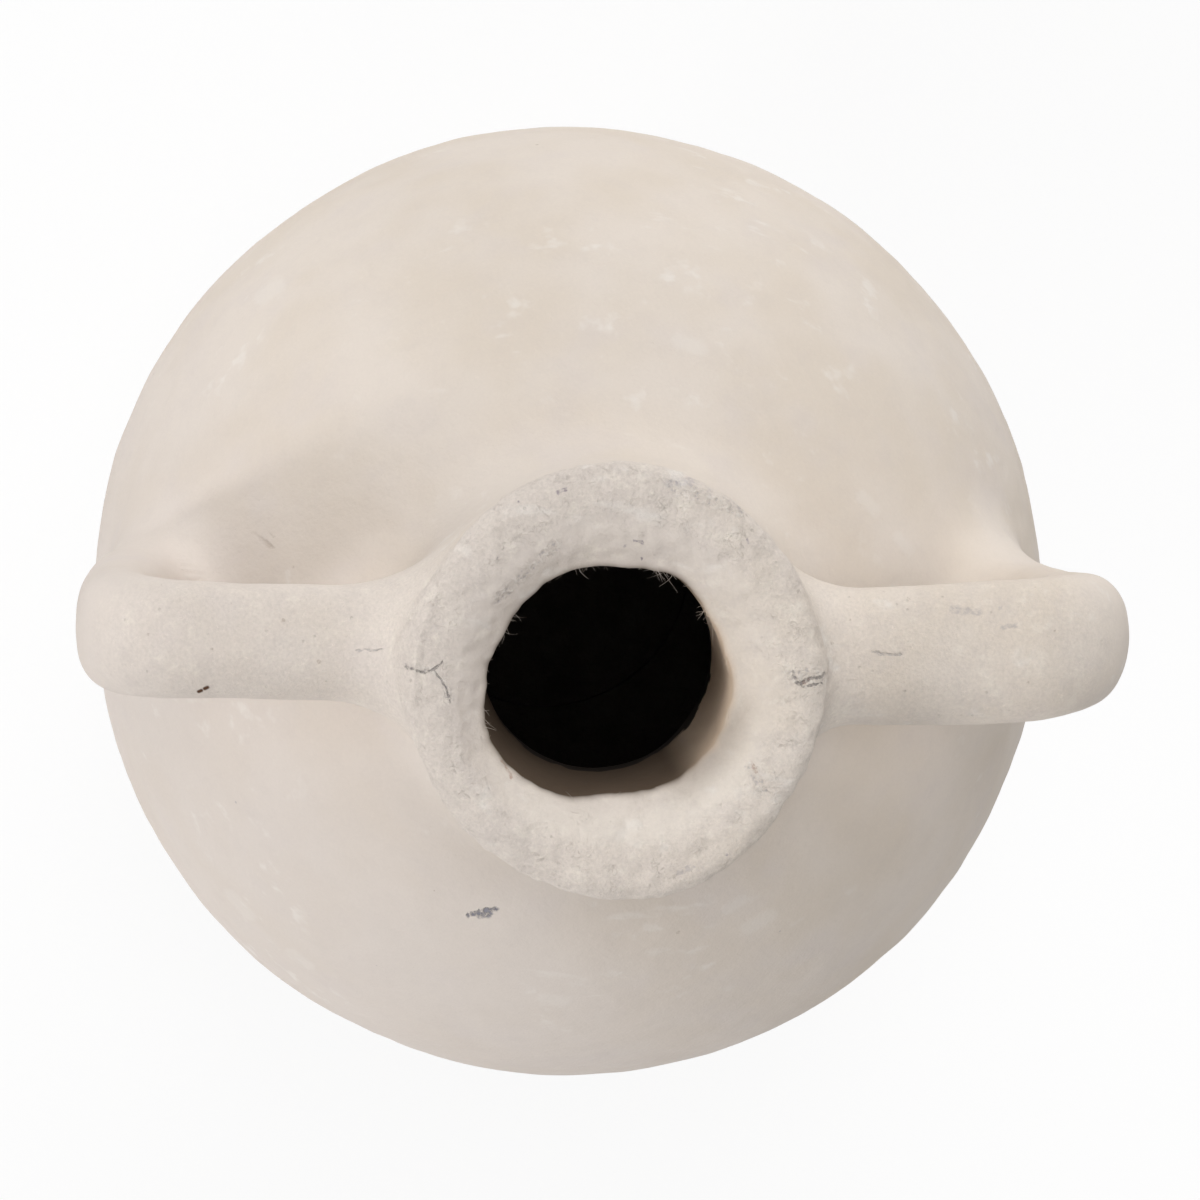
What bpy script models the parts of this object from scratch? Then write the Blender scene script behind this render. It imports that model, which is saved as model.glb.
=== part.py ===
"""A round-bellied vase of moulded paper pulp, with a short thick neck and two strap handles.

The wall is pressed in two halves, front and back, that meet on the plane of the handles.
A disc closes the foot from below, and each handle sits on the neck and on the shoulder, across the seam
and a little behind it.
Metres, +Z up. The origin is on the axis, on the surface that the vase stands on. The handles point along X.
"""

import math

import bmesh
import bpy
from mathutils import Matrix

# Body: the turned outer shape
HEIGHT = 0.290
BODY_RADIUS = 0.119
EQUATOR_HEIGHT = 0.116
FOOT_RADIUS = 0.062
FOOT_ROUND = 0.005

# Neck and rim
NECK_HEIGHT = 0.052
NECK_BASE_RADIUS = 0.056
NECK_PINCH = 0.0025
RIM_RADIUS = 0.0455
RIM_ROUND = 0.005
LIP_ROUND = 0.008
BORE_RADIUS = 0.026

# Wall and floor
WALL = 0.010
THROAT_ROUND = 0.004
FLOOR_HEIGHT = 0.016
SEAT_RADIUS = 0.046
LEDGE_WIDTH = 0.006
BASE_RECESS = 0.002
BASE_THICKNESS = 0.009
BASE_EDGE_ROUND = 0.001

# Handles: a strap that leaves the neck level, turns down at the elbow and lands on the shoulder
HANDLE_REACH = 0.1195
HANDLE_THICKNESS = 0.020
LEFT_HANDLE_WIDTH = 0.026
RIGHT_HANDLE_WIDTH = 0.031
HANDLE_OFFSET = 0.004
ARM_DROP = 0.023
ELBOW_ROUND = 0.017
LANDING_DROP = 0.098
LANDING_ANGLE_DEG = 28
NECK_SPREAD = 0.009
NECK_SPREAD_LENGTH = 0.015
SHOULDER_SPREAD = 0.015
SHOULDER_SPREAD_LENGTH = 0.025

# Fit: the gap left where pieces meet
CLEARANCE = 0.0003

# Facets. Two more than a multiple of four puts the seam across the middle of a facet.
TURN_STEPS = 54
ARM_STEPS = 8
ELBOW_STEPS = 7
LEG_STEPS = 12
HANDLE_SIDES = 16

PULP_COLOUR = (0.72, 0.64, 0.56, 1.0)
RAW_PULP_COLOUR = (0.40, 0.34, 0.28, 1.0)
PULP_ROUGHNESS = 0.95

NECK_BASE_HEIGHT = HEIGHT - NECK_HEIGHT


def ellipse_rise(radius, rise, edge_radius):
    """Half height of an ellipse of this radius that is edge_radius wide at this rise from its middle."""
    return rise / math.sqrt(1 - (edge_radius / radius) ** 2)


SHOULDER_RISE = ellipse_rise(BODY_RADIUS, NECK_BASE_HEIGHT - EQUATOR_HEIGHT, NECK_BASE_RADIUS)
BELLY_DROP = ellipse_rise(BODY_RADIUS, EQUATOR_HEIGHT, FOOT_RADIUS)


def ellipse(radius, rise, start, end, steps):
    """Points (r, z) on an ellipse round the equator, by its angle above the equator in radians."""
    turns = [start + (end - start) * i / steps for i in range(steps + 1)]
    return [(radius * math.cos(t), EQUATOR_HEIGHT + rise * math.sin(t)) for t in turns]


def arc(centre, radius, start, end, steps):
    """Points on a circular arc, by angle in degrees."""
    turns = [math.radians(start + (end - start) * i / steps) for i in range(steps + 1)]
    return [(centre[0] + radius * math.cos(t), centre[1] + radius * math.sin(t)) for t in turns]


def bezier(points, steps):
    """Points on a Bezier curve with these control points."""
    curve = []
    for i in range(steps + 1):
        level = points
        t = i / steps
        while len(level) > 1:
            level = [
                tuple(a + (b - a) * t for a, b in zip(p, q)) for p, q in zip(level, level[1:])
            ]
        curve.append(level[0])
    return curve


def chain(*stretches):
    """Stretches of an outline joined end to end, with shared ends kept once."""
    points = []
    for stretch in stretches:
        for point in stretch:
            if not points or math.dist(points[-1], point) > CLEARANCE / 10:
                points.append(point)
    return points


def shoulder_radius(height):
    """Outer radius of the shoulder at a height above the equator."""
    return BODY_RADIUS * math.sqrt(1 - ((height - EQUATOR_HEIGHT) / SHOULDER_RISE) ** 2)


def shoulder_slope(radius, height):
    """Unit tangent (r, z) of the shoulder there, pointing down and out."""
    run = (height - EQUATOR_HEIGHT) / SHOULDER_RISE**2
    fall = radius / BODY_RADIUS**2
    length = math.hypot(run, fall)
    return run / length, -fall / length


def outer_outline():
    """The outside of the wall, from the crown of the rim down to the foot."""
    rim = arc((RIM_RADIUS - RIM_ROUND, HEIGHT - RIM_ROUND), RIM_ROUND, 90, 0, 4)
    slope = shoulder_slope(NECK_BASE_RADIUS, NECK_BASE_HEIGHT)
    neck_length = NECK_HEIGHT - RIM_ROUND
    neck = bezier(
        [
            rim[-1],
            (RIM_RADIUS - NECK_PINCH, rim[-1][1] - neck_length / 3),
            (RIM_RADIUS - NECK_PINCH, rim[-1][1] - neck_length * 2 / 3),
            (
                NECK_BASE_RADIUS - slope[0] * neck_length / 4,
                NECK_BASE_HEIGHT - slope[1] * neck_length / 4,
            ),
            (NECK_BASE_RADIUS, NECK_BASE_HEIGHT),
        ],
        7,
    )
    neck_turn = math.acos(NECK_BASE_RADIUS / BODY_RADIUS)
    shoulder = ellipse(BODY_RADIUS, SHOULDER_RISE, neck_turn, 0, 9)
    foot_turn = math.asin((EQUATOR_HEIGHT - FOOT_ROUND) / BELLY_DROP)
    belly = ellipse(BODY_RADIUS, BELLY_DROP, 0, -foot_turn, 8)
    foot = bezier([belly[-1], (FOOT_RADIUS, 0), (FOOT_RADIUS - FOOT_ROUND, 0)], 3)
    return chain(rim, neck, shoulder, belly, foot)


def inner_outline():
    """The inside of the wall, from the seat of the base disc up to the crown of the lip."""
    ledge_radius = SEAT_RADIUS - LEDGE_WIDTH
    ledge_height = BASE_RECESS + BASE_THICKNESS + CLEARANCE
    inside = BODY_RADIUS - WALL
    belly_drop = BELLY_DROP - WALL
    shoulder_rise = SHOULDER_RISE - WALL
    seat = [
        (SEAT_RADIUS, 0),
        (SEAT_RADIUS, ledge_height),
        (ledge_radius, ledge_height),
        (ledge_radius, FLOOR_HEIGHT),
    ]
    floor_turn = math.asin((EQUATOR_HEIGHT - FLOOR_HEIGHT) / belly_drop)
    belly = ellipse(inside, belly_drop, -floor_turn, 0, 7)
    throat_turn = math.acos((BORE_RADIUS + THROAT_ROUND) / inside)
    shoulder = ellipse(inside, shoulder_rise, 0, throat_turn, 9)
    throat_height = shoulder[-1][1]
    throat = bezier(
        [shoulder[-1], (BORE_RADIUS, throat_height), (BORE_RADIUS, throat_height + THROAT_ROUND)], 3
    )
    lip = arc((BORE_RADIUS + LIP_ROUND, HEIGHT - LIP_ROUND), LIP_ROUND, 180, 90, 5)
    return chain(seat, belly, shoulder, throat, lip)


def moved_out(outline, distance):
    """An outline that runs down an outer side, moved outwards."""
    moved = []
    for i, point in enumerate(outline):
        before = outline[max(i - 1, 0)]
        after = outline[min(i + 1, len(outline) - 1)]
        run, fall = after[0] - before[0], after[1] - before[1]
        length = math.hypot(run, fall)
        moved.append((point[0] - fall / length * distance, point[1] + run / length * distance))
    return moved


def clear_scene():
    for obj in list(bpy.data.objects):
        bpy.data.objects.remove(obj, do_unlink=True)


def new_collection(name):
    collection = bpy.data.collections.new(name)
    bpy.context.scene.collection.children.link(collection)
    return collection


def give_material(obj, colour):
    material = bpy.data.materials.new(obj.name + "_pulp")
    material.use_nodes = True
    shader = material.node_tree.nodes["Principled BSDF"]
    shader.inputs["Base Color"].default_value = colour
    shader.inputs["Roughness"].default_value = PULP_ROUGHNESS
    shader.inputs["Metallic"].default_value = 0.0
    material.diffuse_color = colour
    obj.data.materials.clear()
    obj.data.materials.append(material)


def hide_cutter(obj):
    obj.hide_render = True
    obj.display_type = "WIRE"


def shade(mesh):
    mesh.shade_smooth()
    mesh.set_sharp_from_angle(angle=math.radians(40))


def turned(name, outline, closed, collection):
    """A profile turned about Z by a Screw modifier, with the seam plane across the middle of a facet."""
    mesh = bpy.data.meshes.new(name)
    edges = [(i, i + 1) for i in range(len(outline) - 1)]
    if closed:
        edges.append((len(outline) - 1, 0))
    mesh.from_pydata([(r, 0, z) for r, z in outline], edges, [])
    mesh.transform(Matrix.Rotation(math.pi / TURN_STEPS, 4, "Z"))
    obj = bpy.data.objects.new(name, mesh)
    collection.objects.link(obj)
    screw = obj.modifiers.new("turn", "SCREW")
    screw.axis = "Z"
    screw.steps = TURN_STEPS
    screw.render_steps = TURN_STEPS
    screw.use_merge_vertices = True
    screw.merge_threshold = CLEARANCE / 10
    screw.use_smooth_shade = True
    return obj


def cut(obj, cutter):
    boolean = obj.modifiers.new("cut_" + cutter.name, "BOOLEAN")
    boolean.operation = "DIFFERENCE"
    boolean.solver = "EXACT"
    boolean.object = cutter


def half_space(name, side, collection):
    """A box that fills everything on one side of the seam plane, and half of the seam's gap."""
    size = 4 * (HEIGHT + BODY_RADIUS + HANDLE_REACH)
    bpy.ops.mesh.primitive_cube_add(size=size)
    obj = bpy.context.object
    obj.name = name
    for old in list(obj.users_collection):
        old.objects.unlink(obj)
    collection.objects.link(obj)
    obj.location = (0, side * (size - CLEARANCE) / 2, 0)
    hide_cutter(obj)
    return obj


def make_shell(name, cut_side, parts, cutters):
    """One pressed half of the wall: the turned wall with the other half cut away."""
    wall = turned(name, outer_outline() + inner_outline(), True, parts)
    cut(wall, half_space(name + "_other_half", cut_side, cutters))
    give_material(wall, PULP_COLOUR)


def make_base_disc(parts):
    """The disc that is pushed up into the foot, against the ledge of both halves."""
    bpy.ops.mesh.primitive_cylinder_add(
        vertices=TURN_STEPS,
        radius=SEAT_RADIUS - CLEARANCE,
        depth=BASE_THICKNESS,
        location=(0, 0, BASE_RECESS + BASE_THICKNESS / 2),
        rotation=(0, 0, math.pi / TURN_STEPS),
    )
    disc = bpy.context.object
    disc.name = "base_disc"
    for old in list(disc.users_collection):
        old.objects.unlink(disc)
    parts.objects.link(disc)
    edge = disc.modifiers.new("edge", "BEVEL")
    edge.width = BASE_EDGE_ROUND
    edge.segments = 2
    edge.limit_method = "ANGLE"
    give_material(disc, RAW_PULP_COLOUR)


def handle_route():
    """Centre line (r, z) of a handle, from inside the neck wall, over the elbow, to inside the shoulder."""
    arm_height = HEIGHT - ARM_DROP
    start = ((BORE_RADIUS + RIM_RADIUS) / 2, arm_height)
    bend = (HANDLE_REACH - HANDLE_THICKNESS / 2 - ELBOW_ROUND, arm_height - ELBOW_ROUND)
    elbow = arc(bend, ELBOW_ROUND, 90, 0, ELBOW_STEPS)
    landing_height = HEIGHT - LANDING_DROP
    landing = (shoulder_radius(landing_height), landing_height)
    angle = math.radians(LANDING_ANGLE_DEG)
    lean = (-math.sin(angle), -math.cos(angle))
    depth = 2 * WALL
    end = (landing[0] + lean[0] * depth, landing[1] + lean[1] * depth)
    reach = (elbow[-1][1] - landing[1]) / 2
    leg = bezier(
        [
            elbow[-1],
            (elbow[-1][0], elbow[-1][1] - reach),
            (landing[0] - lean[0] * reach / 2, landing[1] - lean[1] * reach / 2),
            end,
        ],
        LEG_STEPS,
    )
    arm = [start, *bezier([(RIM_RADIUS - NECK_PINCH, arm_height), elbow[0]], ARM_STEPS)]
    return chain(arm, elbow, leg), landing


def spread_at(point, landing):
    """How many times its plain section the strap is at a point of its route, near the neck or the shoulder."""
    from_neck = max(point[0] - RIM_RADIUS, 0)
    from_shoulder = math.dist(point, landing)
    neck = NECK_SPREAD * math.exp(-((from_neck / NECK_SPREAD_LENGTH) ** 2))
    shoulder = SHOULDER_SPREAD * math.exp(-((from_shoulder / SHOULDER_SPREAD_LENGTH) ** 2))
    return 1 + (neck + shoulder) / HANDLE_THICKNESS


def sweep_handle(name, width, collection):
    """The strap as a swept curve: round in section, then spread sideways to its width."""
    route, landing = handle_route()
    data = bpy.data.curves.new(name + "_route", "CURVE")
    data.dimensions = "3D"
    data.bevel_depth = HANDLE_THICKNESS / 2
    data.bevel_resolution = HANDLE_SIDES // 2 - 2
    data.use_fill_caps = True
    spline = data.splines.new("POLY")
    spline.points.add(len(route) - 1)
    for knot, point in zip(spline.points, route):
        knot.co = (point[0], 0, point[1], 1)
        knot.radius = spread_at(point, landing)
    curve = bpy.data.objects.new(name + "_route", data)
    curve.scale = (1, width / HANDLE_THICKNESS, 1)
    collection.objects.link(curve)
    return curve


def mesh_from_curve(curve, name, collection):
    """A closed mesh of a swept curve, with its caps welded on. The curve is removed."""
    bpy.context.view_layer.update()
    graph = bpy.context.evaluated_depsgraph_get()
    mesh = bpy.data.meshes.new_from_object(curve.evaluated_get(graph))
    mesh.transform(curve.matrix_world)
    bpy.data.objects.remove(curve, do_unlink=True)
    solid = bmesh.new()
    solid.from_mesh(mesh)
    bmesh.ops.remove_doubles(solid, verts=solid.verts, dist=CLEARANCE / 10)
    bmesh.ops.recalc_face_normals(solid, faces=solid.faces)
    solid.to_mesh(mesh)
    solid.free()
    mesh.name = name
    obj = bpy.data.objects.new(name, mesh)
    collection.objects.link(obj)
    return obj


def make_handle(name, width, turn, parts, keep_clear):
    """A handle whose two roots follow the neck and the shoulder, a clearance away from them."""
    handle = mesh_from_curve(sweep_handle(name, width, parts), name, parts)
    handle.rotation_euler = (0, 0, turn)
    handle.location = (0, HANDLE_OFFSET, 0)
    shade(handle.data)
    cut(handle, keep_clear)
    give_material(handle, PULP_COLOUR)


def make_keep_clear(cutters):
    """The whole outer shape of the wall, filled, a clearance larger all round: no handle reaches into it."""
    side = moved_out(outer_outline(), CLEARANCE)
    outline = [(0, side[0][1]), *side, (0, side[-1][1])]
    obj = turned("keep_clear", outline, False, cutters)
    hide_cutter(obj)
    return obj


def main():
    clear_scene()
    parts = new_collection("vase")
    cutters = new_collection("vase_cutters")
    make_shell("front_shell", 1, parts, cutters)
    make_shell("back_shell", -1, parts, cutters)
    make_base_disc(parts)
    keep_clear = make_keep_clear(cutters)
    make_handle("right_handle", RIGHT_HANDLE_WIDTH, 0, parts, keep_clear)
    make_handle("left_handle", LEFT_HANDLE_WIDTH, math.pi, parts, keep_clear)


main()
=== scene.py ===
"""A round-bellied vase of moulded paper pulp, with two strap handles, seen almost straight from above.

Metres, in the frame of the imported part: +X to the photo's right, +Y to its top, +Z up to the camera.
The wall's two halves and the handles follow one smooth surface, so the handles flow into the wall.
"""

import math

import bpy
import numpy as np
from mathutils import Euler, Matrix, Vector


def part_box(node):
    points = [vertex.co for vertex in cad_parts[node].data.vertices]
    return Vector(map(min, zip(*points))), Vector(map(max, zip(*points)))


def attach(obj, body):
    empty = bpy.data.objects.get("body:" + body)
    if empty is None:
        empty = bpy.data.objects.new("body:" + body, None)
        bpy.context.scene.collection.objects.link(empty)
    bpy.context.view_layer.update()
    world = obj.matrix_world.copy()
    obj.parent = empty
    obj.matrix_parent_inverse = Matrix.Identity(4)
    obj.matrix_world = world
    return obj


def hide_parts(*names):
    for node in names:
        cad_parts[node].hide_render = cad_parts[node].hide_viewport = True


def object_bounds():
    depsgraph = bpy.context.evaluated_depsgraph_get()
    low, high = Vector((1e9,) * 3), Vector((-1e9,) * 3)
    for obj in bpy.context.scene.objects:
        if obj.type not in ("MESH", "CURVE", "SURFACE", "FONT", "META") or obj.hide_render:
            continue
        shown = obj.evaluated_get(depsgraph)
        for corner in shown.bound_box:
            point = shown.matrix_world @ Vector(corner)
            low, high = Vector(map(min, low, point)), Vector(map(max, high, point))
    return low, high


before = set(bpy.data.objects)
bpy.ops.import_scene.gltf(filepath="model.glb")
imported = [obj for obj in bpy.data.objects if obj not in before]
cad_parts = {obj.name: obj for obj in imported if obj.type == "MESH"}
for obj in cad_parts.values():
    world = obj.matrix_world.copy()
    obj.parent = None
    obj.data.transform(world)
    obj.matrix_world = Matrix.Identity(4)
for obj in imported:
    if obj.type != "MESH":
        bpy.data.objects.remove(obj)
cad_low, cad_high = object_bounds()

# Turned wall: the frame's sizes, with the rim and the lip as photographed
HEIGHT = cad_high.z
BODY_RADIUS = cad_high.y
EQUATOR_HEIGHT = 0.116
FOOT_RADIUS = 0.062
FOOT_ROUND = 0.005
NECK_HEIGHT = 0.052
NECK_BASE_RADIUS = 0.056
NECK_PINCH = 0.0025
RIM_RADIUS = 0.0455
RIM_ROUND = 0.0042
RIM_ARCH = 0.0004
LIP_WIDTH = 0.0085
LIP_DROP = 0.0060
LIP_EDGE = 0.0008
LIP_FULLNESS = 0.62
BORE_RADIUS = 0.026
WALL = 0.010
THROAT_ROUND = 0.004
FLOOR_HEIGHT = 0.016
SEAT_RADIUS = 0.046
LEDGE_WIDTH = 0.006
DISC_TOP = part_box("base_disc")[1].z
DISC_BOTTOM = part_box("base_disc")[0].z
DISC_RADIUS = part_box("base_disc")[1].x
DISC_ROUND = 0.001
DISC_DISH = 0.0006
DISC_FLAT_SHARE = 0.5
DISC_LUMP_SHARE = 0.3
NECK_BASE_HEIGHT = HEIGHT - NECK_HEIGHT
CROWN_RADIUS = BORE_RADIUS + LIP_WIDTH

# How far the lip, every 30 degrees from +X, the throat and the rim lie off their circles
LIP_LINE_BACK = (-0.0004, -0.0018, -0.0011, -0.0021, -0.0005, -0.0007)
LIP_LINE_FRONT = (0.0014, 0.0042, 0.0030, -0.0001, 0.0004, 0.0002)
THROAT_SHIFT = (-0.0017, 0.0006)
THROAT_DEPTH = 0.045
RIM_SHIFT = (0.0002, -0.0004)
RIM_GROWTH = 0.0006
RIM_STRETCH = 0.0010
RIM_BULGE = 0.0016
RIM_BULGE_TURN = math.radians(287)
RIM_BULGE_SHARPNESS = 6
LIP_RIPPLE = 0.00009
RIM_RIPPLE = 0.00022

# Seed of a ripple, its first wave's count round the circle, and the first count left out
LIP_WAVES = (11, 7, 15)
RIM_WAVES = (12, 3, 9)

# Handles: the frame's strap, set a little inside it, with a landing of its own on each side
HANDLE_INSET = 0.0013
HANDLE_REACH = cad_high.x - HANDLE_INSET
HANDLE_THICKNESS = 0.020
HANDLE_OFFSET = 0.004
ARM_DROP = 0.023
ELBOW_ROUND = 0.017
RIGHT_LANDING_DROP = 0.092
RIGHT_LANDING_ANGLE_DEG = 30
LEFT_LANDING_DROP = 0.103
LEFT_LANDING_ANGLE_DEG = 22

# The straps from the neck to the shoulder: places along them, thickness, width and lean to +Y there
STRAP_PLACES = (0.0, 0.025, 0.050, 0.066, 0.084, 0.100, 0.115, 0.140)
STRAP_THICKNESSES = (0.0200, 0.0200, 0.0200, 0.0200, 0.0200, 0.0205, 0.0240, 0.0300)
RIGHT_WIDTHS = (0.0300, 0.0305, 0.0325, 0.0312, 0.0284, 0.0300, 0.0330, 0.0380)
LEFT_WIDTHS = (0.0255, 0.0250, 0.0250, 0.0268, 0.0270, 0.0272, 0.0280, 0.0300)
RIGHT_LEANS = (0.0, 0.0, 0.0016, 0.0036, 0.0042, 0.0018, 0.0, 0.0)
LEFT_LEANS = (0.0,) * len(STRAP_PLACES)
RIGHT_SQUARENESS = 2.15
LEFT_SQUARENESS = 2.3

# The handles' roots: how far they are rounded into the wall, where, and how far the points may rise
RIGHT_NECK_BLEND = 0.014
LEFT_NECK_BLEND = 0.020
RIGHT_SHOULDER_BLEND = 0.016
LEFT_SHOULDER_BLEND = 0.0145
BLEND_LOW = HEIGHT - 0.065
BLEND_HIGH = HEIGHT - 0.045
WALL_RISE = 0.022
NECK_SPREAD = 0.010
SHOULDER_SPREAD = 0.022
TUCK = 0.0005
TUCK_SHARE = 0.25
MARCH_STEPS = 20
ROOTS_LOW = HEIGHT - 1.7 * LEFT_LANDING_DROP
ROOTS_HIGH = HEIGHT - 2 * RIM_ARCH
ROOTS_WIDTH = 4 * HANDLE_THICKNESS

# Soft lumps: waves in a field, spread of their sizes, heights of the rim's own lumps and of the calm foot
WAVE_COUNT = 36
WAVE_SIZES = (0.7, 1.5)
RIM_LUMPS_LOW = HEIGHT - 0.016
RIM_LUMPS_HIGH = HEIGHT - 0.004
FOOT_CALM = 0.02

# Fineness of the curves, of the meshes and of the tables of distances
CURVE_POINTS = 200
ARC_POINTS = 60
STRAP_POINTS = 300
SMOOTHING_REACH = 10
SMOOTHING_ROUNDS = 3
COLUMNS = 592
SEAM_CROWDING = 0.40
RIM_GAP = 0.0006
NECK_GAP = 0.0011
SHOULDER_GAP = 0.00125
BELLY_GAP = 0.0032
INSIDE_GAP = 0.010
HANDLE_GAP = 0.0007
HANDLE_SIDES = 168
DISC_COLUMNS = 120
LEAST_SIZE = 0.01
TABLE_GAP = 0.0006
TABLE_EDGE = 1.001
TABLE_LOW = (0.0, HEIGHT - 0.19)
TABLE_HIGH = (BODY_RADIUS + 0.035, HEIGHT + 0.03)

# Camera, from the places of the rim, the belly and the handles in the photo
CAMERA_PLACE = (-0.0769, 0.1161, 1.2887)
CAMERA_TURN_DEG = (-5.77, -3.97, 1.90)
CAMERA_LENS = 140
SENSOR = 36

# Floor and lights: name, way round from +X and up in degrees, width in degrees, level
FLOOR_SIZE = 6
FLOOR_COLOUR = (0.9, 0.9, 0.9, 1)
FLOOR_WHITE_SHARE = 0.88
FLOOR_ROUGHNESS = 0.9
WORLD_COLOUR = (1, 1, 1, 1)
WORLD_LEVEL = 0.02
LIGHTS = (
    ("low_left", 211, 14, 9, 0.24),
    ("left", 198, 9, 40, 0.27),
    ("back_left", 120, 8, 30, 0.09),
    ("back_low", 80, 17, 36, 0.28),
    ("back", 90, 42, 36, 0.30),
    ("top", 88, 79, 30, 0.29),
    ("front", 257, 42, 50, 0.28),
    ("right", 0, 24, 28, 0.135),
)

# Colours of the pulp, linear
PALE_COLOUR = (0.735, 0.660, 0.590, 1)
SANDY_COLOUR = (0.704, 0.622, 0.538, 1)
GREY_COLOUR = (0.694, 0.622, 0.572, 1)
COOL_COLOUR = (0.690, 0.625, 0.588, 1)
RIM_COLOUR = (0.670, 0.602, 0.545, 1)
STAIN_COLOUR = (0.590, 0.527, 0.492, 1)
CREAM_COLOUR = (0.800, 0.735, 0.650, 1)
CHALK_COLOUR = (0.82, 0.775, 0.725, 1)
BROWN_COLOUR = (0.26, 0.17, 0.11, 1)
SLATE_COLOUR = (0.24, 0.22, 0.27, 1)
VIOLET_COLOUR = (0.19, 0.15, 0.20, 1)
BLUE_COLOUR = (0.17, 0.18, 0.24, 1)
SEED_COLOUR = (0.105, 0.052, 0.030, 1)
CRACK_COLOUR = (0.20, 0.18, 0.18, 1)
RUST_COLOUR = (0.36, 0.20, 0.13, 1)
# The bore's bare brown pulp: its own colour, dark as painted shade on one side and pale as painted light
# where light falls
BORE_SHADE_SIDE_COLOUR = (0.132, 0.095, 0.067, 1)
BORE_PAINTED_LIGHT_COLOUR = (0.80, 0.63, 0.475, 1)
# Painted shade: dark brown where the lip's slope curves down into the bore
LIP_PAINTED_SHADE_COLOUR = (0.20, 0.155, 0.12, 1)
# Near-black painted shade: deep in the bore, and inside the closed body
BORE_DEEP_SHADE_COLOUR = (0.035, 0.028, 0.022, 1)
INSIDE_SHADE_COLOUR = (0.042, 0.036, 0.030, 1)
INSIDE_DEEP_SHADE_COLOUR = (0.028, 0.024, 0.020, 1)
RAW_COLOUR = (0.42, 0.36, 0.30, 1)
RAW_DARK_COLOUR = (0.33, 0.275, 0.225, 1)

# Where the pulp is worn, cool or grey, and where the painted light and painted shade of the lip and the
# bore lie: ways from the axis, and where each fades in
WORN_LOW = HEIGHT - 0.030
WORN_HIGH = HEIGHT - 0.0135
RIM_FADE = (HEIGHT - 0.008, HEIGHT - 0.002)
COOL_WAY = (-0.70, -0.70, 0.0)
COOL_FADE = (-0.02, 0.09)
RIM_GREY_WAY = (-0.85, 0.53, 0.0)
# Painted light on the lip's slope, on the side that faces the back lights: its way, turn, and outer and
# inner fades
LIP_PAINTED_LIGHT_WAY = (0.17, -0.985, 0.0)
LIP_PAINTED_LIGHT_TURN = (0.2, 0.8)
LIP_PAINTED_LIGHT_OUTER = (CROWN_RADIUS + 0.004, CROWN_RADIUS)
LIP_PAINTED_LIGHT_INNER = (BORE_RADIUS + 0.0015, BORE_RADIUS + 0.0055)
LIP_GRAIN_FADE = (CROWN_RADIUS - 0.001, CROWN_RADIUS + 0.003)
# Painted shade on the lip's slope: the side it is strongest on, how far round it reaches, and how far out
LIP_PAINTED_SHADE_WAY = (0.82, -0.57, 0.0)
LIP_PAINTED_SHADE_TURN = (0.82, 1.0)
LIP_PAINTED_SHADE_FADE = (BORE_RADIUS + 0.0085, BORE_RADIUS + 0.0010)
BORE_FADE = (BORE_RADIUS + 0.012, BORE_RADIUS + 0.010)
BORE_EDGE_FADE = (HEIGHT - LIP_DROP + 0.0018, HEIGHT - LIP_DROP - 0.0018)
# Painted light in the bore: the side it falls on, and how far round it reaches
BORE_PAINTED_LIGHT_WAY = (1.0, 0.0, 0.0)
BORE_PAINTED_LIGHT_TURN = (0.52, 0.96)
# Painted shade deep in the bore: where it starts, and how ragged its edge is
BORE_DEPTH = 0.041
BORE_DEEP_FADE = (HEIGHT - BORE_DEPTH + 0.006, HEIGHT - BORE_DEPTH + 0.004)
RAGGED_DEPTH = 0.010

# Noises of the pulp: size, detail, roughness and distortion
NOISE_MIDDLE = 0.5
GRAIN_NOISE = (0.0008, 3.0, 0.7)
CURL_NOISE = (0.0022, 2.0, 0.5, 1.2)
FELT_NOISE = (0.0035, 3.0, 0.6)
CRUMB_NOISE = (0.0011, 3.0, 0.6)
SPECK_NOISE = (0.0015, 2.0)
RAGGED_NOISE = (0.006, 2.0, 0.6)
RAW_GRAIN_NOISE = (0.0012, 3.0, 0.7)
RAW_CURL_NOISE = (0.003, 3.0, 0.6, 1.0)

# Patterns of the pulp: a noise, then where it fades in and what it gives there
CLOUDS = ((0.034, 2.0, 0.55), (0.35, 0.68))
BLUSHES = ((0.021, 2.0, 0.6), (0.50, 0.75, 0.0, 0.55))
STAINS = ((0.0065, 4.0, 0.65), (0.46, 0.70))
RUBBED_PLACES = ((0.0050, 4.0, 0.65), (0.52, 0.72))
BLOTCHES = ((0.010, 3.0, 0.6), (0.60, 0.74))
STREAKS = ((0.007, 3.0, 0.6), (0.62, 0.78))
CHALK_ZONES = ((0.050, 1.0, 0.5), (0.42, 0.58))
FIBRE_ZONES = ((0.004, 2.0, 0.6), (0.52, 0.62))
BREAKS = ((0.0009, 3.0, 0.65), (0.36, 0.60, 0.15, 1.0))
DRYNESS = ((0.012, 1.0), (0.3, 0.7, 0.88, 0.98))
RAW_CLOUDS = ((0.012, 4.0, 0.6), (0.35, 0.7))
RUBBED_SHIFT = (0.31, 0.17, 0.05)
STREAK_TURN = (0.0, 0.0, 0.6)
STREAK_SCALE = (0.35, 1.0, 1.0)

# How strong the pulp's details are
COOL_SHARE = 0.50
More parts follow.
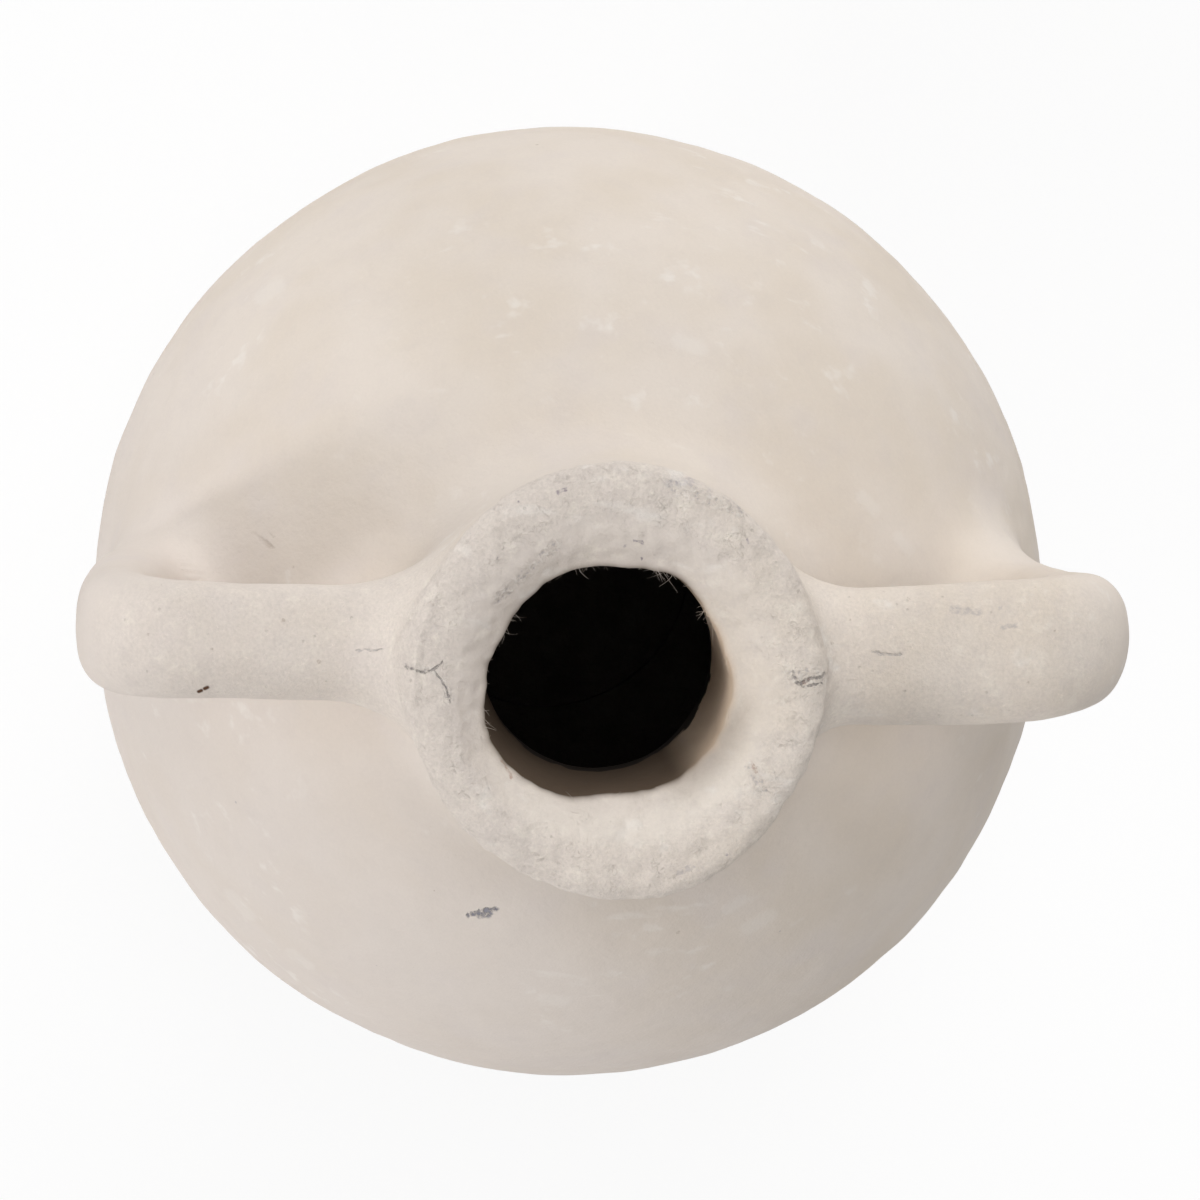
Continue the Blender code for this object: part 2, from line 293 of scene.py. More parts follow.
# Shares of the lip's painted light and of its painted shade
LIP_PAINTED_LIGHT_SHARE = 0.36
LIP_PAINTED_SHADE_SHARE = 0.45
SMOOTH_STAIN = 0.10
WORN_STAIN = 0.28
RUBBED_SHARE = 0.55
CHALK_SHARE = 0.52
SMOOTH_GRAIN = 0.22
LIP_SMOOTHNESS = 0.62
RIM_ROUGHNESS = 1.35
GRAIN_CONTRAST = 0.33
FIBRE_CONTRAST = 0.10
PIT_DARKNESS = 0.09
SPECK_SHARE = 0.34
PULP_SHINE = 0.2
RAW_SHINE = 0.15
RAW_SHADE = (0.2, 0.8, 0.85, 1.1)
RAW_DRYNESS = (0.3, 0.7, 0.9, 1.0)

# Fibres, pits and specks: sizes of their cells, and where they fade in or out
FIBRE_LINE = (0.004, 0.016, 1.0, 0.0)
PIT_CELL = 0.0026
PIT_EDGE = (0.06, 0.16, 1.0, 0.0)
PIT_PICK = (0.80, 0.86)
SPECK_CELL = 0.0115
SPECK_LEAST = 0.002
SPECK_GROWTH = 0.020
SPECK_SHAKE = 0.03
SPECK_EDGE = (-0.006, 0.008, 1.0, 0.0)
SPECK_PICK = (0.80, 0.84)
SPECK_HUE = (0.45, 0.55)

# Relief too fine for the mesh: its depth, and the shares of its parts
RELIEF_DEPTH = 0.00026
GRAIN_RELIEF = 0.8
ARM_FIBRE_RELIEF = 0.08
RIM_FIBRE_RELIEF = 0.36
PIT_RELIEF = -0.5
FELT_RELIEF = 0.8
RAW_CURL_RELIEF = 1.5

# How the strokes of marks are drawn, and the areas that share them out among materials
WANDER_SIZE = 0.0016
WANDER_DETAIL = 3.0
WANDER_REACH = 0.0018
STROKE_EDGE = (0.35, 1.0, 1.0, 0.0)
STROKE_NUDGE = (0.00005, 0.0, 0.0)
STROKE_SCALE = (1.0, 1.0, 0.15)
PALE_CRUMBS = (0.02, 0.14)
DARK_CRUMBS = (-0.04, -0.18)
MARK_REACH = 0.005
MARK_AREAS = 8
AREA_LINE = 0.0095
AREA_REACH = 0.050

# Marks: places along each stroke, and how far the stroke reaches from them
CRACKS = (
    (
        (
            (-0.0458, 0.0014, 0.2885),
            (-0.0418, 0.0005, 0.2904),
            (-0.0392, 0.0015, 0.2904),
            (-0.0377, 0.0028, 0.2904),
        ),
        0.00036,
    ),
    (((-0.0394, 0.0010, 0.2904), (-0.0367, -0.0030, 0.2904), (-0.0360, -0.0058, 0.2904)), 0.00030),
    (
        (
            (0.0381, 0.0025, 0.2900),
            (0.0392, 0.0004, 0.2900),
            (0.0406, 0.0006, 0.2900),
            (0.0454, 0.0021, 0.2881),
        ),
        0.00048,
    ),
    (((0.0387, 0.0001, 0.2900), (0.0406, -0.0004, 0.2900), (0.0447, 0.0003, 0.2890)), 0.00036),
)
CRUMBLES = (
    (((0.0385, 0.0022, 0.2900), (0.0440, 0.0014, 0.2890)), 0.0034),
    (((-0.0375, -0.0005, 0.2904), (-0.0362, -0.0050, 0.2904)), 0.0016),
    (((-0.0455, 0.0014, 0.2885), (-0.0395, 0.0010, 0.2904)), 0.0014),
    (((0.0300, -0.0185, 0.2901), (0.0325, -0.0230, 0.2898)), 0.0022),
    (((-0.0260, 0.0170, 0.2880), (-0.0140, 0.0290, 0.2890)), 0.0020),
    (((0.0100, 0.0425, 0.2898), (0.0250, 0.0375, 0.2892)), 0.0026),
)
CREASES = (
    (((0.0569, 0.0061, 0.2771), (0.0600, 0.0058, 0.2771), (0.0636, 0.0059, 0.2770)), 0.00050),
    (((-0.0560, 0.0036, 0.2781), (-0.0505, 0.0045, 0.2812)), 0.00028),
)
# Painted shade in brown on the back of the lip's slope, where it faces away from the light
LIP_BACK_SHADE = (
    (
        (
            (-0.0275, 0.0120, 0.2870),
            (-0.0222, 0.0205, 0.2880),
            (-0.0135, 0.0268, 0.2885),
            (-0.0030, 0.0295, 0.2885),
        ),
        0.0042,
    ),
)
SEEDS = (
    (((-0.0889, -0.0060, 0.2738), (-0.0884, -0.0057, 0.2739)), 0.00062),
    (((-0.0902, -0.0068, 0.2732), (-0.0897, -0.0065, 0.2733)), 0.00060),
)
GOUGE = (
    (((-0.0276, -0.0622, 0.2292), (-0.0243, -0.0610, 0.2311), (-0.0216, -0.0601, 0.2327)), 0.0009),
    (((-0.0250, -0.0620, 0.2303), (-0.0232, -0.0616, 0.2310)), 0.0011),
)
SMUDGES = (
    (((0.0746, 0.0158, 0.2746), (0.0801, 0.0153, 0.2751)), 0.0011),
    (((0.0858, 0.0123, 0.2763), (0.0882, 0.0126, 0.2764)), 0.0009),
    (((0.0852, 0.0163, 0.2748),), 0.0008),
    (((0.0096, 0.0428, 0.2900), (0.0148, 0.0433, 0.2888)), 0.0012),
    (((0.0188, 0.0412, 0.2892),), 0.0010),
    (((0.0151, -0.0416, 0.2899), (0.0175, -0.0405, 0.2896)), 0.0009),
)
DASHES = (
    (((-0.0141, 0.0404, 0.2904), (-0.0124, 0.0409, 0.2903)), 0.0006),
    (((0.0029, 0.0302, 0.2893), (0.0047, 0.0298, 0.2892)), 0.0005),
    (((0.0273, 0.0312, 0.2898), (0.0275, 0.0306, 0.2898)), 0.0005),
    (((0.0008, 0.0290, 0.2887),), 0.0004),
    (((0.0046, 0.0262, 0.2858),), 0.0004),
    (((-0.0268, 0.0260, 0.2900),), 0.0004),
    (((-0.0224, 0.0380, 0.2903),), 0.0004),
    (((0.0254, -0.0376, 0.2886),), 0.0005),
)
BROWN_DOTS = (
    (((0.0974, 0.0117, 0.2759),), 0.0005),
    (((0.0918, 0.0003, 0.2766),), 0.0005),
    (((0.0653, 0.0178, 0.2723),), 0.0004),
    (((0.0519, 0.0129, 0.2761),), 0.0005),
    (((0.0478, 0.0082, 0.2800),), 0.0004),
    (((-0.0723, 0.0097, 0.2762),), 0.0005),
    (((-0.1015, 0.0058, 0.2747),), 0.0005),
    (((-0.0875, 0.0029, 0.2769),), 0.0005),
    (((-0.0642, 0.0010, 0.2769),), 0.0006),
    (((-0.0701, 0.0167, 0.2286),), 0.0006),
    (((-0.0821, -0.0235, 0.2161),), 0.0005),
    (((0.0207, -0.0654, 0.2291),), 0.0005),
)
RUST_MARKS = (
    (((-0.0243, -0.0186, 0.2856), (-0.0218, -0.0224, 0.2862)), 0.0005),
    (((0.0406, 0.0004, 0.2900), (0.0414, 0.0008, 0.2900)), 0.0006),
    (((0.0307, -0.0191, 0.2900), (0.0299, -0.0173, 0.2901)), 0.0005),
)
SCRATCH = (
    (((-0.0808, 0.0241, 0.2219), (-0.0785, 0.0228, 0.2236), (-0.0757, 0.0208, 0.2255)), 0.0013),
    (((-0.0785, 0.0252, 0.2225), (-0.0748, 0.0228, 0.2247)), 0.0008),
)
SCUFFS = (
    (((-0.0790, 0.0760, 0.1707), (-0.0750, 0.0790, 0.1707)), 0.0026),
    (((0.0165, 0.0708, 0.2255), (0.0215, 0.0692, 0.2255)), 0.0024),
    (((0.0375, -0.0648, 0.2234), (0.0425, -0.0618, 0.2234)), 0.0028),
    (((0.0318, -0.0596, 0.2301), (0.0352, -0.0572, 0.2301)), 0.0020),
    (((-0.0825, -0.0675, 0.1774), (-0.0780, -0.0720, 0.1774)), 0.0026),
    (((-0.0675, -0.0805, 0.1808), (-0.0635, -0.0835, 0.1808)), 0.0022),
    (((-0.0085, -0.0845, 0.2126), (-0.0040, -0.0849, 0.2126)), 0.0024),
    (((0.0597, 0.0363, 0.2282), (0.0630, 0.0335, 0.2275)), 0.0022),
    (((0.0690, 0.0270, 0.2256), (0.0718, 0.0240, 0.2256)), 0.0020),
)

# Each kind of mark: strokes, colour, strength, edge, and relief in shares of the relief's depth
MARKS = (
    # Painted shade on the back of the lip
    (LIP_BACK_SHADE, BROWN_COLOUR, 0.04, "broken", 0.0),
    (CREASES, BLUE_COLOUR, 0.26, "broken", -0.8),
    (SMUDGES, SLATE_COLOUR, 0.30, "broken", 0.0),
    (GOUGE, BLUE_COLOUR, 0.80, "broken", -1.5),
    (DASHES, VIOLET_COLOUR, 0.70, "broken", 0.0),
    (BROWN_DOTS, BROWN_COLOUR, 0.42, "broken", 0.0),
    (RUST_MARKS, RUST_COLOUR, 0.55, "broken", 0.0),
    (SCRATCH, BROWN_COLOUR, 0.36, "soft", -1.2),
    (SCUFFS, CHALK_COLOUR, 0.22, "soft", 0.2),
    (SEEDS, SEED_COLOUR, 1.0, "whole", 0.6),
    (CRUMBLES, SLATE_COLOUR, 0.35, "crumbs", 3.0),
    (CRACKS, CRACK_COLOUR, 0.56, "broken", -1.6),
)

# Tufts of loose fibres at the lip: way round from +X and spread in degrees, count, longest
FIBRE_TUFTS = (
    (108, 5, 10, 0.0028),
    (67, 5, 10, 0.0030),
    (37, 4, 8, 0.0045),
    (160, 6, 6, 0.0034),
    (14, 5, 3, 0.0034),
    (196, 9, 7, 0.0022),
    (240, 30, 14, 0.0012),
    (90, 60, 46, 0.0011),
)
FIBRE_SEED = 21
FIBRE_POINTS = 7
FIBRE_SIDES = 3
FIBRE_SIDE_WAY = (0.3, 0.2, 0.93)
FIBRE_RADIUS = 0.000046
FIBRE_TIP_SHARE = 0.35
FIBRE_SHORTEST_SHARE = 0.35
FIBRE_ROOT = 0.0006

# Mean and spread of the fibres' ways, curls and root heights
FIBRE_ASIDE = (0, 1.0)
FIBRE_RISE = (0.1, 0.35)
FIBRE_CURL_ASIDE = (0, 1.2)
FIBRE_CURL_OUT = (0.2, 0.6)
FIBRE_CURL_RISE = (-0.2, 0.4)
FIBRE_ROOT_RISE = (0.0002, 0.0004)


def ellipse_rise(radius, rise, edge_radius):
    """Half height of an ellipse of this radius that is edge_radius wide at this rise from its middle."""
    return rise / math.sqrt(1 - (edge_radius / radius) ** 2)


SHOULDER_RISE = ellipse_rise(BODY_RADIUS, NECK_BASE_HEIGHT - EQUATOR_HEIGHT, NECK_BASE_RADIUS)
BELLY_DROP = ellipse_rise(BODY_RADIUS, EQUATOR_HEIGHT, FOOT_RADIUS)


def line(start, end):
    return np.array([start, end], float)


def ellipse(radius, rise, start, end):
    """Points (r, z) on an ellipse round the equator, by their angle above it in radians."""
    turn = np.linspace(start, end, CURVE_POINTS)
    return np.column_stack([radius * np.cos(turn), EQUATOR_HEIGHT + rise * np.sin(turn)])


def arc(centre, radius, start, end):
    turn = np.radians(np.linspace(start, end, ARC_POINTS))
    return np.column_stack([centre[0] + radius * np.cos(turn), centre[1] + radius * np.sin(turn)])


def bezier(points):
    level = np.repeat(np.array(points, float)[:, None, :], CURVE_POINTS, axis=1)
    t = np.linspace(0, 1, CURVE_POINTS)[None, :, None]
    while len(level) > 1:
        level = level[:-1] * (1 - t) + level[1:] * t
    return level[0]


def lengths_along(points):
    steps = np.linalg.norm(np.diff(points, axis=0), axis=1)
    return np.concatenate([[0], np.cumsum(steps)])


def spaced(points, gap):
    """The same curve with its points about a gap apart."""
    along = lengths_along(points)
    count = max(int(round(along[-1] / gap)), 1)
    places = np.linspace(0, along[-1], count + 1)
    return np.column_stack([np.interp(places, along, points[:, i]) for i in range(2)])


def chain(stretches):
    """Stretches joined end to end, with shared ends kept once."""
    points = [stretches[0]]
    for stretch in stretches[1:]:
        points.append(stretch[1:])
    return np.concatenate(points)


def smooth_step(low, high, value):
    t = np.clip((value - low) / (high - low), 0, 1)
    return t * t * (3 - 2 * t)


def shoulder_radius(height):
    return BODY_RADIUS * math.sqrt(1 - ((height - EQUATOR_HEIGHT) / SHOULDER_RISE) ** 2)


def outside():
    """The outside of the wall, from the crown of the rim down to the foot."""
    run = (NECK_BASE_HEIGHT - EQUATOR_HEIGHT) / SHOULDER_RISE**2
    fall = NECK_BASE_RADIUS / BODY_RADIUS**2
    slope = np.array([run, -fall]) / math.hypot(run, fall)
    half_rim = (RIM_RADIUS - RIM_ROUND - CROWN_RADIUS) / 2
    rim_lean = math.atan(2 * RIM_ARCH / half_rim)
    round_start = np.array([RIM_RADIUS - RIM_ROUND * (1 - math.sin(rim_lean)), HEIGHT - RIM_ARCH])
    round_middle = round_start - RIM_ROUND * np.array([math.sin(rim_lean), math.cos(rim_lean)])
    crown = (CROWN_RADIUS, HEIGHT - RIM_ARCH)
    rim_top = bezier([crown, (CROWN_RADIUS + half_rim, HEIGHT + RIM_ARCH), round_start])
    rim_foot = (RIM_RADIUS, round_middle[1])
    neck_length = rim_foot[1] - NECK_BASE_HEIGHT
    neck_base = np.array([NECK_BASE_RADIUS, NECK_BASE_HEIGHT])
    neck = bezier(
        [
            rim_foot,
            (RIM_RADIUS - NECK_PINCH, rim_foot[1] - neck_length / 3),
            (RIM_RADIUS - NECK_PINCH, rim_foot[1] - neck_length * 2 / 3),
            neck_base - slope * neck_length / 4,
            neck_base,
        ]
    )
    neck_turn = math.acos(NECK_BASE_RADIUS / BODY_RADIUS)
    foot_turn = math.asin((EQUATOR_HEIGHT - FOOT_ROUND) / BELLY_DROP)
    belly = ellipse(BODY_RADIUS, BELLY_DROP, 0, -foot_turn)
    foot = bezier([belly[-1], (FOOT_RADIUS, 0), (FOOT_RADIUS - FOOT_ROUND, 0)])
    return chain(
        [
            spaced(rim_top, RIM_GAP),
            spaced(arc(round_middle, RIM_ROUND, 90 - math.degrees(rim_lean), 0), RIM_GAP),
            spaced(neck, NECK_GAP),
            spaced(ellipse(BODY_RADIUS, SHOULDER_RISE, neck_turn, 0), SHOULDER_GAP),
            spaced(belly, BELLY_GAP),
            spaced(foot, NECK_GAP),
        ]
    )


def inside():
    """The inside of the wall, from the foot's seat for the base disc up to the lip."""
    ledge_radius = SEAT_RADIUS - LEDGE_WIDTH
    radius = BODY_RADIUS - WALL
    belly_drop = BELLY_DROP - WALL
    shoulder_rise = SHOULDER_RISE - WALL
    floor_turn = math.asin((EQUATOR_HEIGHT - FLOOR_HEIGHT) / belly_drop)
    belly = ellipse(radius, belly_drop, -floor_turn, 0)
    throat_turn = math.acos((BORE_RADIUS + THROAT_ROUND) / radius)
    shoulder = ellipse(radius, shoulder_rise, 0, throat_turn)
    throat_height = shoulder[-1][1]
    bore_foot = (BORE_RADIUS, throat_height + THROAT_ROUND)
    lip_foot = (BORE_RADIUS, HEIGHT - LIP_DROP - LIP_EDGE)
    lip_edge = (BORE_RADIUS, HEIGHT - LIP_DROP)
    lip_start = (BORE_RADIUS + LIP_EDGE, HEIGHT - LIP_DROP + LIP_EDGE)
    crown = (CROWN_RADIUS, HEIGHT - RIM_ARCH)
    lip_middle = (BORE_RADIUS + LIP_WIDTH * LIP_FULLNESS, crown[1] - RIM_ARCH)
    return chain(
        [
            spaced(line((FOOT_RADIUS - FOOT_ROUND, 0), (SEAT_RADIUS, 0)), SHOULDER_GAP),
            spaced(line((SEAT_RADIUS, 0), (SEAT_RADIUS, DISC_TOP)), SHOULDER_GAP),
            spaced(line((SEAT_RADIUS, DISC_TOP), (ledge_radius, DISC_TOP)), SHOULDER_GAP),
            spaced(line((ledge_radius, DISC_TOP), (ledge_radius, FLOOR_HEIGHT)), SHOULDER_GAP),
            spaced(line((ledge_radius, FLOOR_HEIGHT), belly[0]), INSIDE_GAP),
            spaced(belly, INSIDE_GAP),
            spaced(shoulder, INSIDE_GAP),
            spaced(bezier([shoulder[-1], (BORE_RADIUS, throat_height), bore_foot]), NECK_GAP),
            spaced(line(bore_foot, lip_foot), BELLY_GAP),
            spaced(bezier([lip_foot, lip_edge, lip_start]), RIM_GAP),
            spaced(bezier([lip_start, lip_middle, crown]), RIM_GAP),
        ]
    )


def nearest(curve, points):
    """Distance of points from a plane curve (positive on its left), and the nearest place along it."""
    step = np.diff(curve, axis=0)
    along = lengths_along(curve)
    best = np.full(len(points), np.inf)
    side = np.ones(len(points))
    place = np.zeros(len(points))
    for i, length in enumerate(np.diff(along)):
        offset = points - curve[i]
        t = np.clip((offset[:, 0] * step[i][0] + offset[:, 1] * step[i][1]) / length**2, 0, 1)
        gap = offset - t[:, None] * step[i]
        distance = np.hypot(gap[:, 0], gap[:, 1])
        closer = distance < best
        cross = step[i][0] * offset[:, 1] - step[i][1] * offset[:, 0]
        best[closer] = distance[closer]
        side[closer] = np.where(cross[closer] >= 0, 1.0, -1.0)
        place[closer] = along[i] + t[closer] * length
    return best * side, place


class DistanceTable:
    """The distance from a plane curve and the place along it, read from a fine grid of both."""

    def __init__(self, curve):
        axes = [np.arange(low, high, TABLE_GAP) for low, high in zip(TABLE_LOW, TABLE_HIGH)]
        grid = np.stack(np.meshgrid(*axes, indexing="ij"), axis=2)
        distance, place = nearest(curve, grid.reshape(-1, 2))
        self.values = np.stack([distance, place], axis=1).reshape(*grid.shape)

    def __call__(self, points):
        spot = (points - np.array(TABLE_LOW)) / TABLE_GAP
        spot = np.clip(spot, 0, np.array(self.values.shape[:2]) - TABLE_EDGE)
        cell = spot.astype(int)
        share = spot - cell
        i, j = cell.T
        a, b = share[:, :1], share[:, 1:]
        low = self.values[i, j] * (1 - b) + self.values[i, j + 1] * b
        high = self.values[i + 1, j] * (1 - b) + self.values[i + 1, j + 1] * b
        return (low * (1 - a) + high * a).T


def handle_route(landing_drop, landing_angle_deg):
    """Centre line of a handle, as (r, z): out from the neck, round the elbow, down into the shoulder."""
    arm_height = HEIGHT - ARM_DROP
    bend = (HANDLE_REACH - HANDLE_THICKNESS / 2 - ELBOW_ROUND, arm_height - ELBOW_ROUND)
    elbow = arc(bend, ELBOW_ROUND, 90, 0)
    landing_height = HEIGHT - landing_drop
    landing = np.array([shoulder_radius(landing_height), landing_height])
    angle = math.radians(landing_angle_deg)
    lean = np.array([-math.sin(angle), -math.cos(angle)])
    reach = (elbow[-1][1] - landing[1]) / 2
    turn_down = elbow[-1] - (0, reach)
    turn_in = landing - lean * reach / 2
    leg = bezier([elbow[-1], turn_down, turn_in, landing + lean * 2 * WALL])
    return spaced(chain([line((RIM_RADIUS - WALL, arm_height), elbow[0]), elbow, leg]), HANDLE_GAP)


OUTSIDE = outside()
WALL_TABLE = DistanceTable(OUTSIDE[OUTSIDE[:, 1] > TABLE_LOW[1]])


def ripple(turn, seed, first, last):
    """An uneven line round a circle, made of a few waves."""
    source = np.random.default_rng(seed)
    waves = [np.cos(n * turn + source.uniform(0, 2 * math.pi)) / math.sqrt(n) for n in range(first, last)]
    return sum(waves)


def rim_line(turn):
    """How far the rim's edge is off its circle at each turn."""
    shift = RIM_SHIFT[0] * np.cos(turn) + RIM_SHIFT[1] * np.sin(turn)
    bulge = RIM_BULGE * np.maximum(np.cos(turn - RIM_BULGE_TURN), 0) ** RIM_BULGE_SHARPNESS
    smooth = shift + RIM_GROWTH + bulge - RIM_STRETCH * np.cos(2 * turn)
    return smooth + RIM_RIPPLE * ripple(turn, *RIM_WAVES)


def rim_share(height):
    """How much of the rim's own line the neck follows: none at its base, all at the rim."""
    return smooth_step(NECK_BASE_HEIGHT, HEIGHT - RIM_ROUND, height)


class Strap:
    """The plain form of one handle, before its roots are rounded into the wall."""

    def __init__(self, side, route, widths, leans, squareness):
        self.side = side
        self.route = route
        self.along = lengths_along(route)
        self.table = DistanceTable(route)
        self.fine = np.linspace(0, self.along[-1], STRAP_POINTS)
        self.widths = self.smoothed(widths)
        self.thicknesses = self.smoothed(STRAP_THICKNESSES)
        self.leans = self.smoothed(leans)
        self.squareness = squareness

    def smoothed(self, values):
        fine = np.interp(self.fine, STRAP_PLACES, values)
        count = 2 * SMOOTHING_REACH + 1
        for _ in range(SMOOTHING_ROUNDS):
            padded = np.pad(fine, SMOOTHING_REACH, mode="edge")
            fine = np.convolve(padded, np.full(count, 1 / count), mode="valid")
        return fine

    def width_at(self, along):
        return np.interp(along, self.fine, self.widths)

    def thickness_at(self, along):
        return np.interp(along, self.fine, self.thicknesses)

    def middle_at(self, along):
        return HANDLE_OFFSET + np.interp(along, self.fine, self.leans)

    def distance(self, points):
        """About how far points are from the strap's surface, negative inside it."""
        off, along = self.table(np.column_stack([points[:, 0] * self.side, points[:, 2]]))
        across = points[:, 1] - self.middle_at(along)
        power = self.squareness
        thick_share = np.abs(off) / (self.thickness_at(along) / 2)
        wide_share = np.abs(across) / (self.width_at(along) / 2)
        size = (thick_share**power + wide_share**power) ** (1 / power)
        out = np.hypot(off, across)
        return np.where(size > 0, out * (1 - 1 / np.maximum(size, LEAST_SIZE)), -HANDLE_THICKNESS / 2)

    def rings(self):
        """Points of the strap, ring by ring, and the way out of it at each."""
        step = np.gradient(self.route, axis=0)
        step /= np.linalg.norm(step, axis=1)[:, None]
        turn = np.linspace(0, 2 * math.pi, HANDLE_SIDES, endpoint=False)
        power = 2 / self.squareness
        up = np.sign(np.cos(turn)) * np.abs(np.cos(turn)) ** power / 2
        across = np.sign(np.sin(turn)) * np.abs(np.sin(turn)) ** power / 2
        thickness = self.thickness_at(self.along)
        offset = np.zeros((len(self.route), HANDLE_SIDES, 3))
        offset[:, :, 0] = self.side * (-step[:, 1] * thickness)[:, None] * up
        offset[:, :, 1] = self.width_at(self.along)[:, None] * across
        offset[:, :, 2] = (step[:, 0] * thickness)[:, None] * up
        out, height = self.route.T
        middle = np.column_stack([out * self.side, self.middle_at(self.along), height])
        way = offset / np.linalg.norm(offset, axis=2)[:, :, None]
        return middle[:, None, :] + offset, way


RIGHT_ROUTE = handle_route(RIGHT_LANDING_DROP, RIGHT_LANDING_ANGLE_DEG)
LEFT_ROUTE = handle_route(LEFT_LANDING_DROP, LEFT_LANDING_ANGLE_DEG)
RIGHT_STRAP = Strap(1, RIGHT_ROUTE, RIGHT_WIDTHS, RIGHT_LEANS, RIGHT_SQUARENESS)
LEFT_STRAP = Strap(-1, LEFT_ROUTE, LEFT_WIDTHS, LEFT_LEANS, LEFT_SQUARENESS)


def union(points):
    """About how far points are outside the wall and its handles, and how much they are a handle's."""
    turn = np.arctan2(points[:, 1], points[:, 0])
    radius = np.hypot(points[:, 0], points[:, 1]) - rim_line(turn) * rim_share(points[:, 2])
    wall = WALL_TABLE(np.column_stack([radius, points[:, 2]]))[0]
    right = points[:, 0] > 0
    strap = np.where(right, RIGHT_STRAP.distance(points), LEFT_STRAP.distance(points))
    neck_blend = np.where(right, RIGHT_NECK_BLEND, LEFT_NECK_BLEND)
    shoulder_blend = np.where(right, RIGHT_SHOULDER_BLEND, LEFT_SHOULDER_BLEND)
    by_neck = smooth_step(BLEND_LOW, BLEND_HIGH, points[:, 2])
    blend = shoulder_blend + (neck_blend - shoulder_blend) * by_neck
    overlap = np.maximum(blend - np.abs(wall - strap), 0) / blend
    distance = np.minimum(wall, strap) - overlap**2 * blend / 4
    return distance, np.clip(0.5 + (wall - strap) / (2 * blend), 0, 1)


def rise_to_union(points, ways, limit, own):
    """How far each point goes along its way to the joined surface, or to just under it where foreign."""
    rise = np.zeros(len(points))
    for _ in range(MARCH_STEPS):
        rise = np.clip(rise - union(points + ways * rise[:, None])[0], 0, limit)
    handle_share = union(points + ways * rise[:, None])[1]
    foreign = (handle_share - 0.5) * (-1 if own == "handle" else 1)
    return rise - TUCK * smooth_step(0, TUCK_SHARE, foreign)


def way_out(points):
    """The way straight out of the joined surface at points on it."""
    ways = np.zeros((len(points), 3))
    for axis, step in enumerate(np.eye(3) * TABLE_GAP):
        ways[:, axis] = union(points + step)[0] - union(points - step)[0]
    return ways / np.linalg.norm(ways, axis=1)[:, None]


class Waves:
    """A smooth field of lumps of about one size, mostly between -2 and 2."""

    def __init__(self, seed, size):
        source = np.random.default_rng(seed)
        ways = source.normal(size=(WAVE_COUNT, 3))
        ways /= np.linalg.norm(ways, axis=1)[:, None]
        self.ways = ways * (2 * math.pi / (size * source.uniform(*WAVE_SIZES, WAVE_COUNT)))[:, None]
        self.phases = source.uniform(0, 2 * math.pi, WAVE_COUNT)
        self.scale = math.sqrt(2 / WAVE_COUNT)

    def __call__(self, points):
        height = np.zeros(len(points))
        for way, phase in zip(self.ways, self.phases):
            height += np.cos(points[:, 0] * way[0] + points[:, 1] * way[1] + points[:, 2] * way[2] + phase)
        return height * self.scale


# Fields of lumps by seed and size, and how high they are
LUMPS = ((Waves(3, 0.060), 0.00020), (Waves(5, 0.018), 0.00008), (Waves(7, 0.0065), 0.00003))
RIM_LUMPS = ((Waves(9, 0.011), 0.00013), (Waves(13, 0.0040), 0.00008))


def lumps(points):
    """Height of the hand-smoothed surface's soft lumps, more on the rim, none at the foot's flat."""
    height = sum(field(points) * depth for field, depth in LUMPS)
    rim_height = sum(field(points) * depth for field, depth in RIM_LUMPS)
    height += rim_height * smooth_step(RIM_LUMPS_LOW, RIM_LUMPS_HIGH, points[:, 2])
    return height * smooth_step(0, FOOT_CALM, points[:, 2])


def lip_line(turn):
    """How far the lip's edge is off the bore's circle at each turn: a smooth line through its places."""
    values = np.array(LIP_LINE_BACK + LIP_LINE_FRONT)
    count = len(values)
    spot = turn / (2 * math.pi) * count
    first = np.floor(spot).astype(int)
    t = spot - first
    a, b, c, d = [values[(first + step) % count] for step in (-1, 0, 1, 2)]
    line_through = b + t / 2 * (c - a + t * (2 * a - 5 * b + 4 * c - d + t * (3 * (b - c) + d - a)))
    return line_through + LIP_RIPPLE * ripple(turn, *LIP_WAVES)


def mouth_offset(outline, turn):
    """How far the rim and the bore are off their circles, row by row and column by column."""
    radius, height = outline[:, 0, None], outline[:, 1, None]
    outer = smooth_step(BORE_RADIUS + LIP_WIDTH / 3, RIM_RADIUS - RIM_ROUND, radius)
    inner = (1 - outer) * smooth_step(NECK_BASE_HEIGHT - NECK_HEIGHT / 2, NECK_BASE_HEIGHT, height)
    deep = smooth_step(HEIGHT - LIP_DROP, HEIGHT - THROAT_DEPTH, height)
    throat_line = THROAT_SHIFT[0] * np.cos(turn) + THROAT_SHIFT[1] * np.sin(turn)
    bore = lip_line(turn) * (1 - deep) + throat_line * deep
    return inner * bore + outer * rim_line(turn) * rim_share(height)


def grid_normals(grid):
    """Normals of a closed grid of points, from the points on either side along both its ways."""
    down = np.roll(grid, -1, axis=0) - np.roll(grid, 1, axis=0)
    across = np.roll(grid, -1, axis=1) - np.roll(grid, 1, axis=1)
    normals = np.cross(down, across)
    return normals / np.linalg.norm(normals, axis=2)[:, :, None]


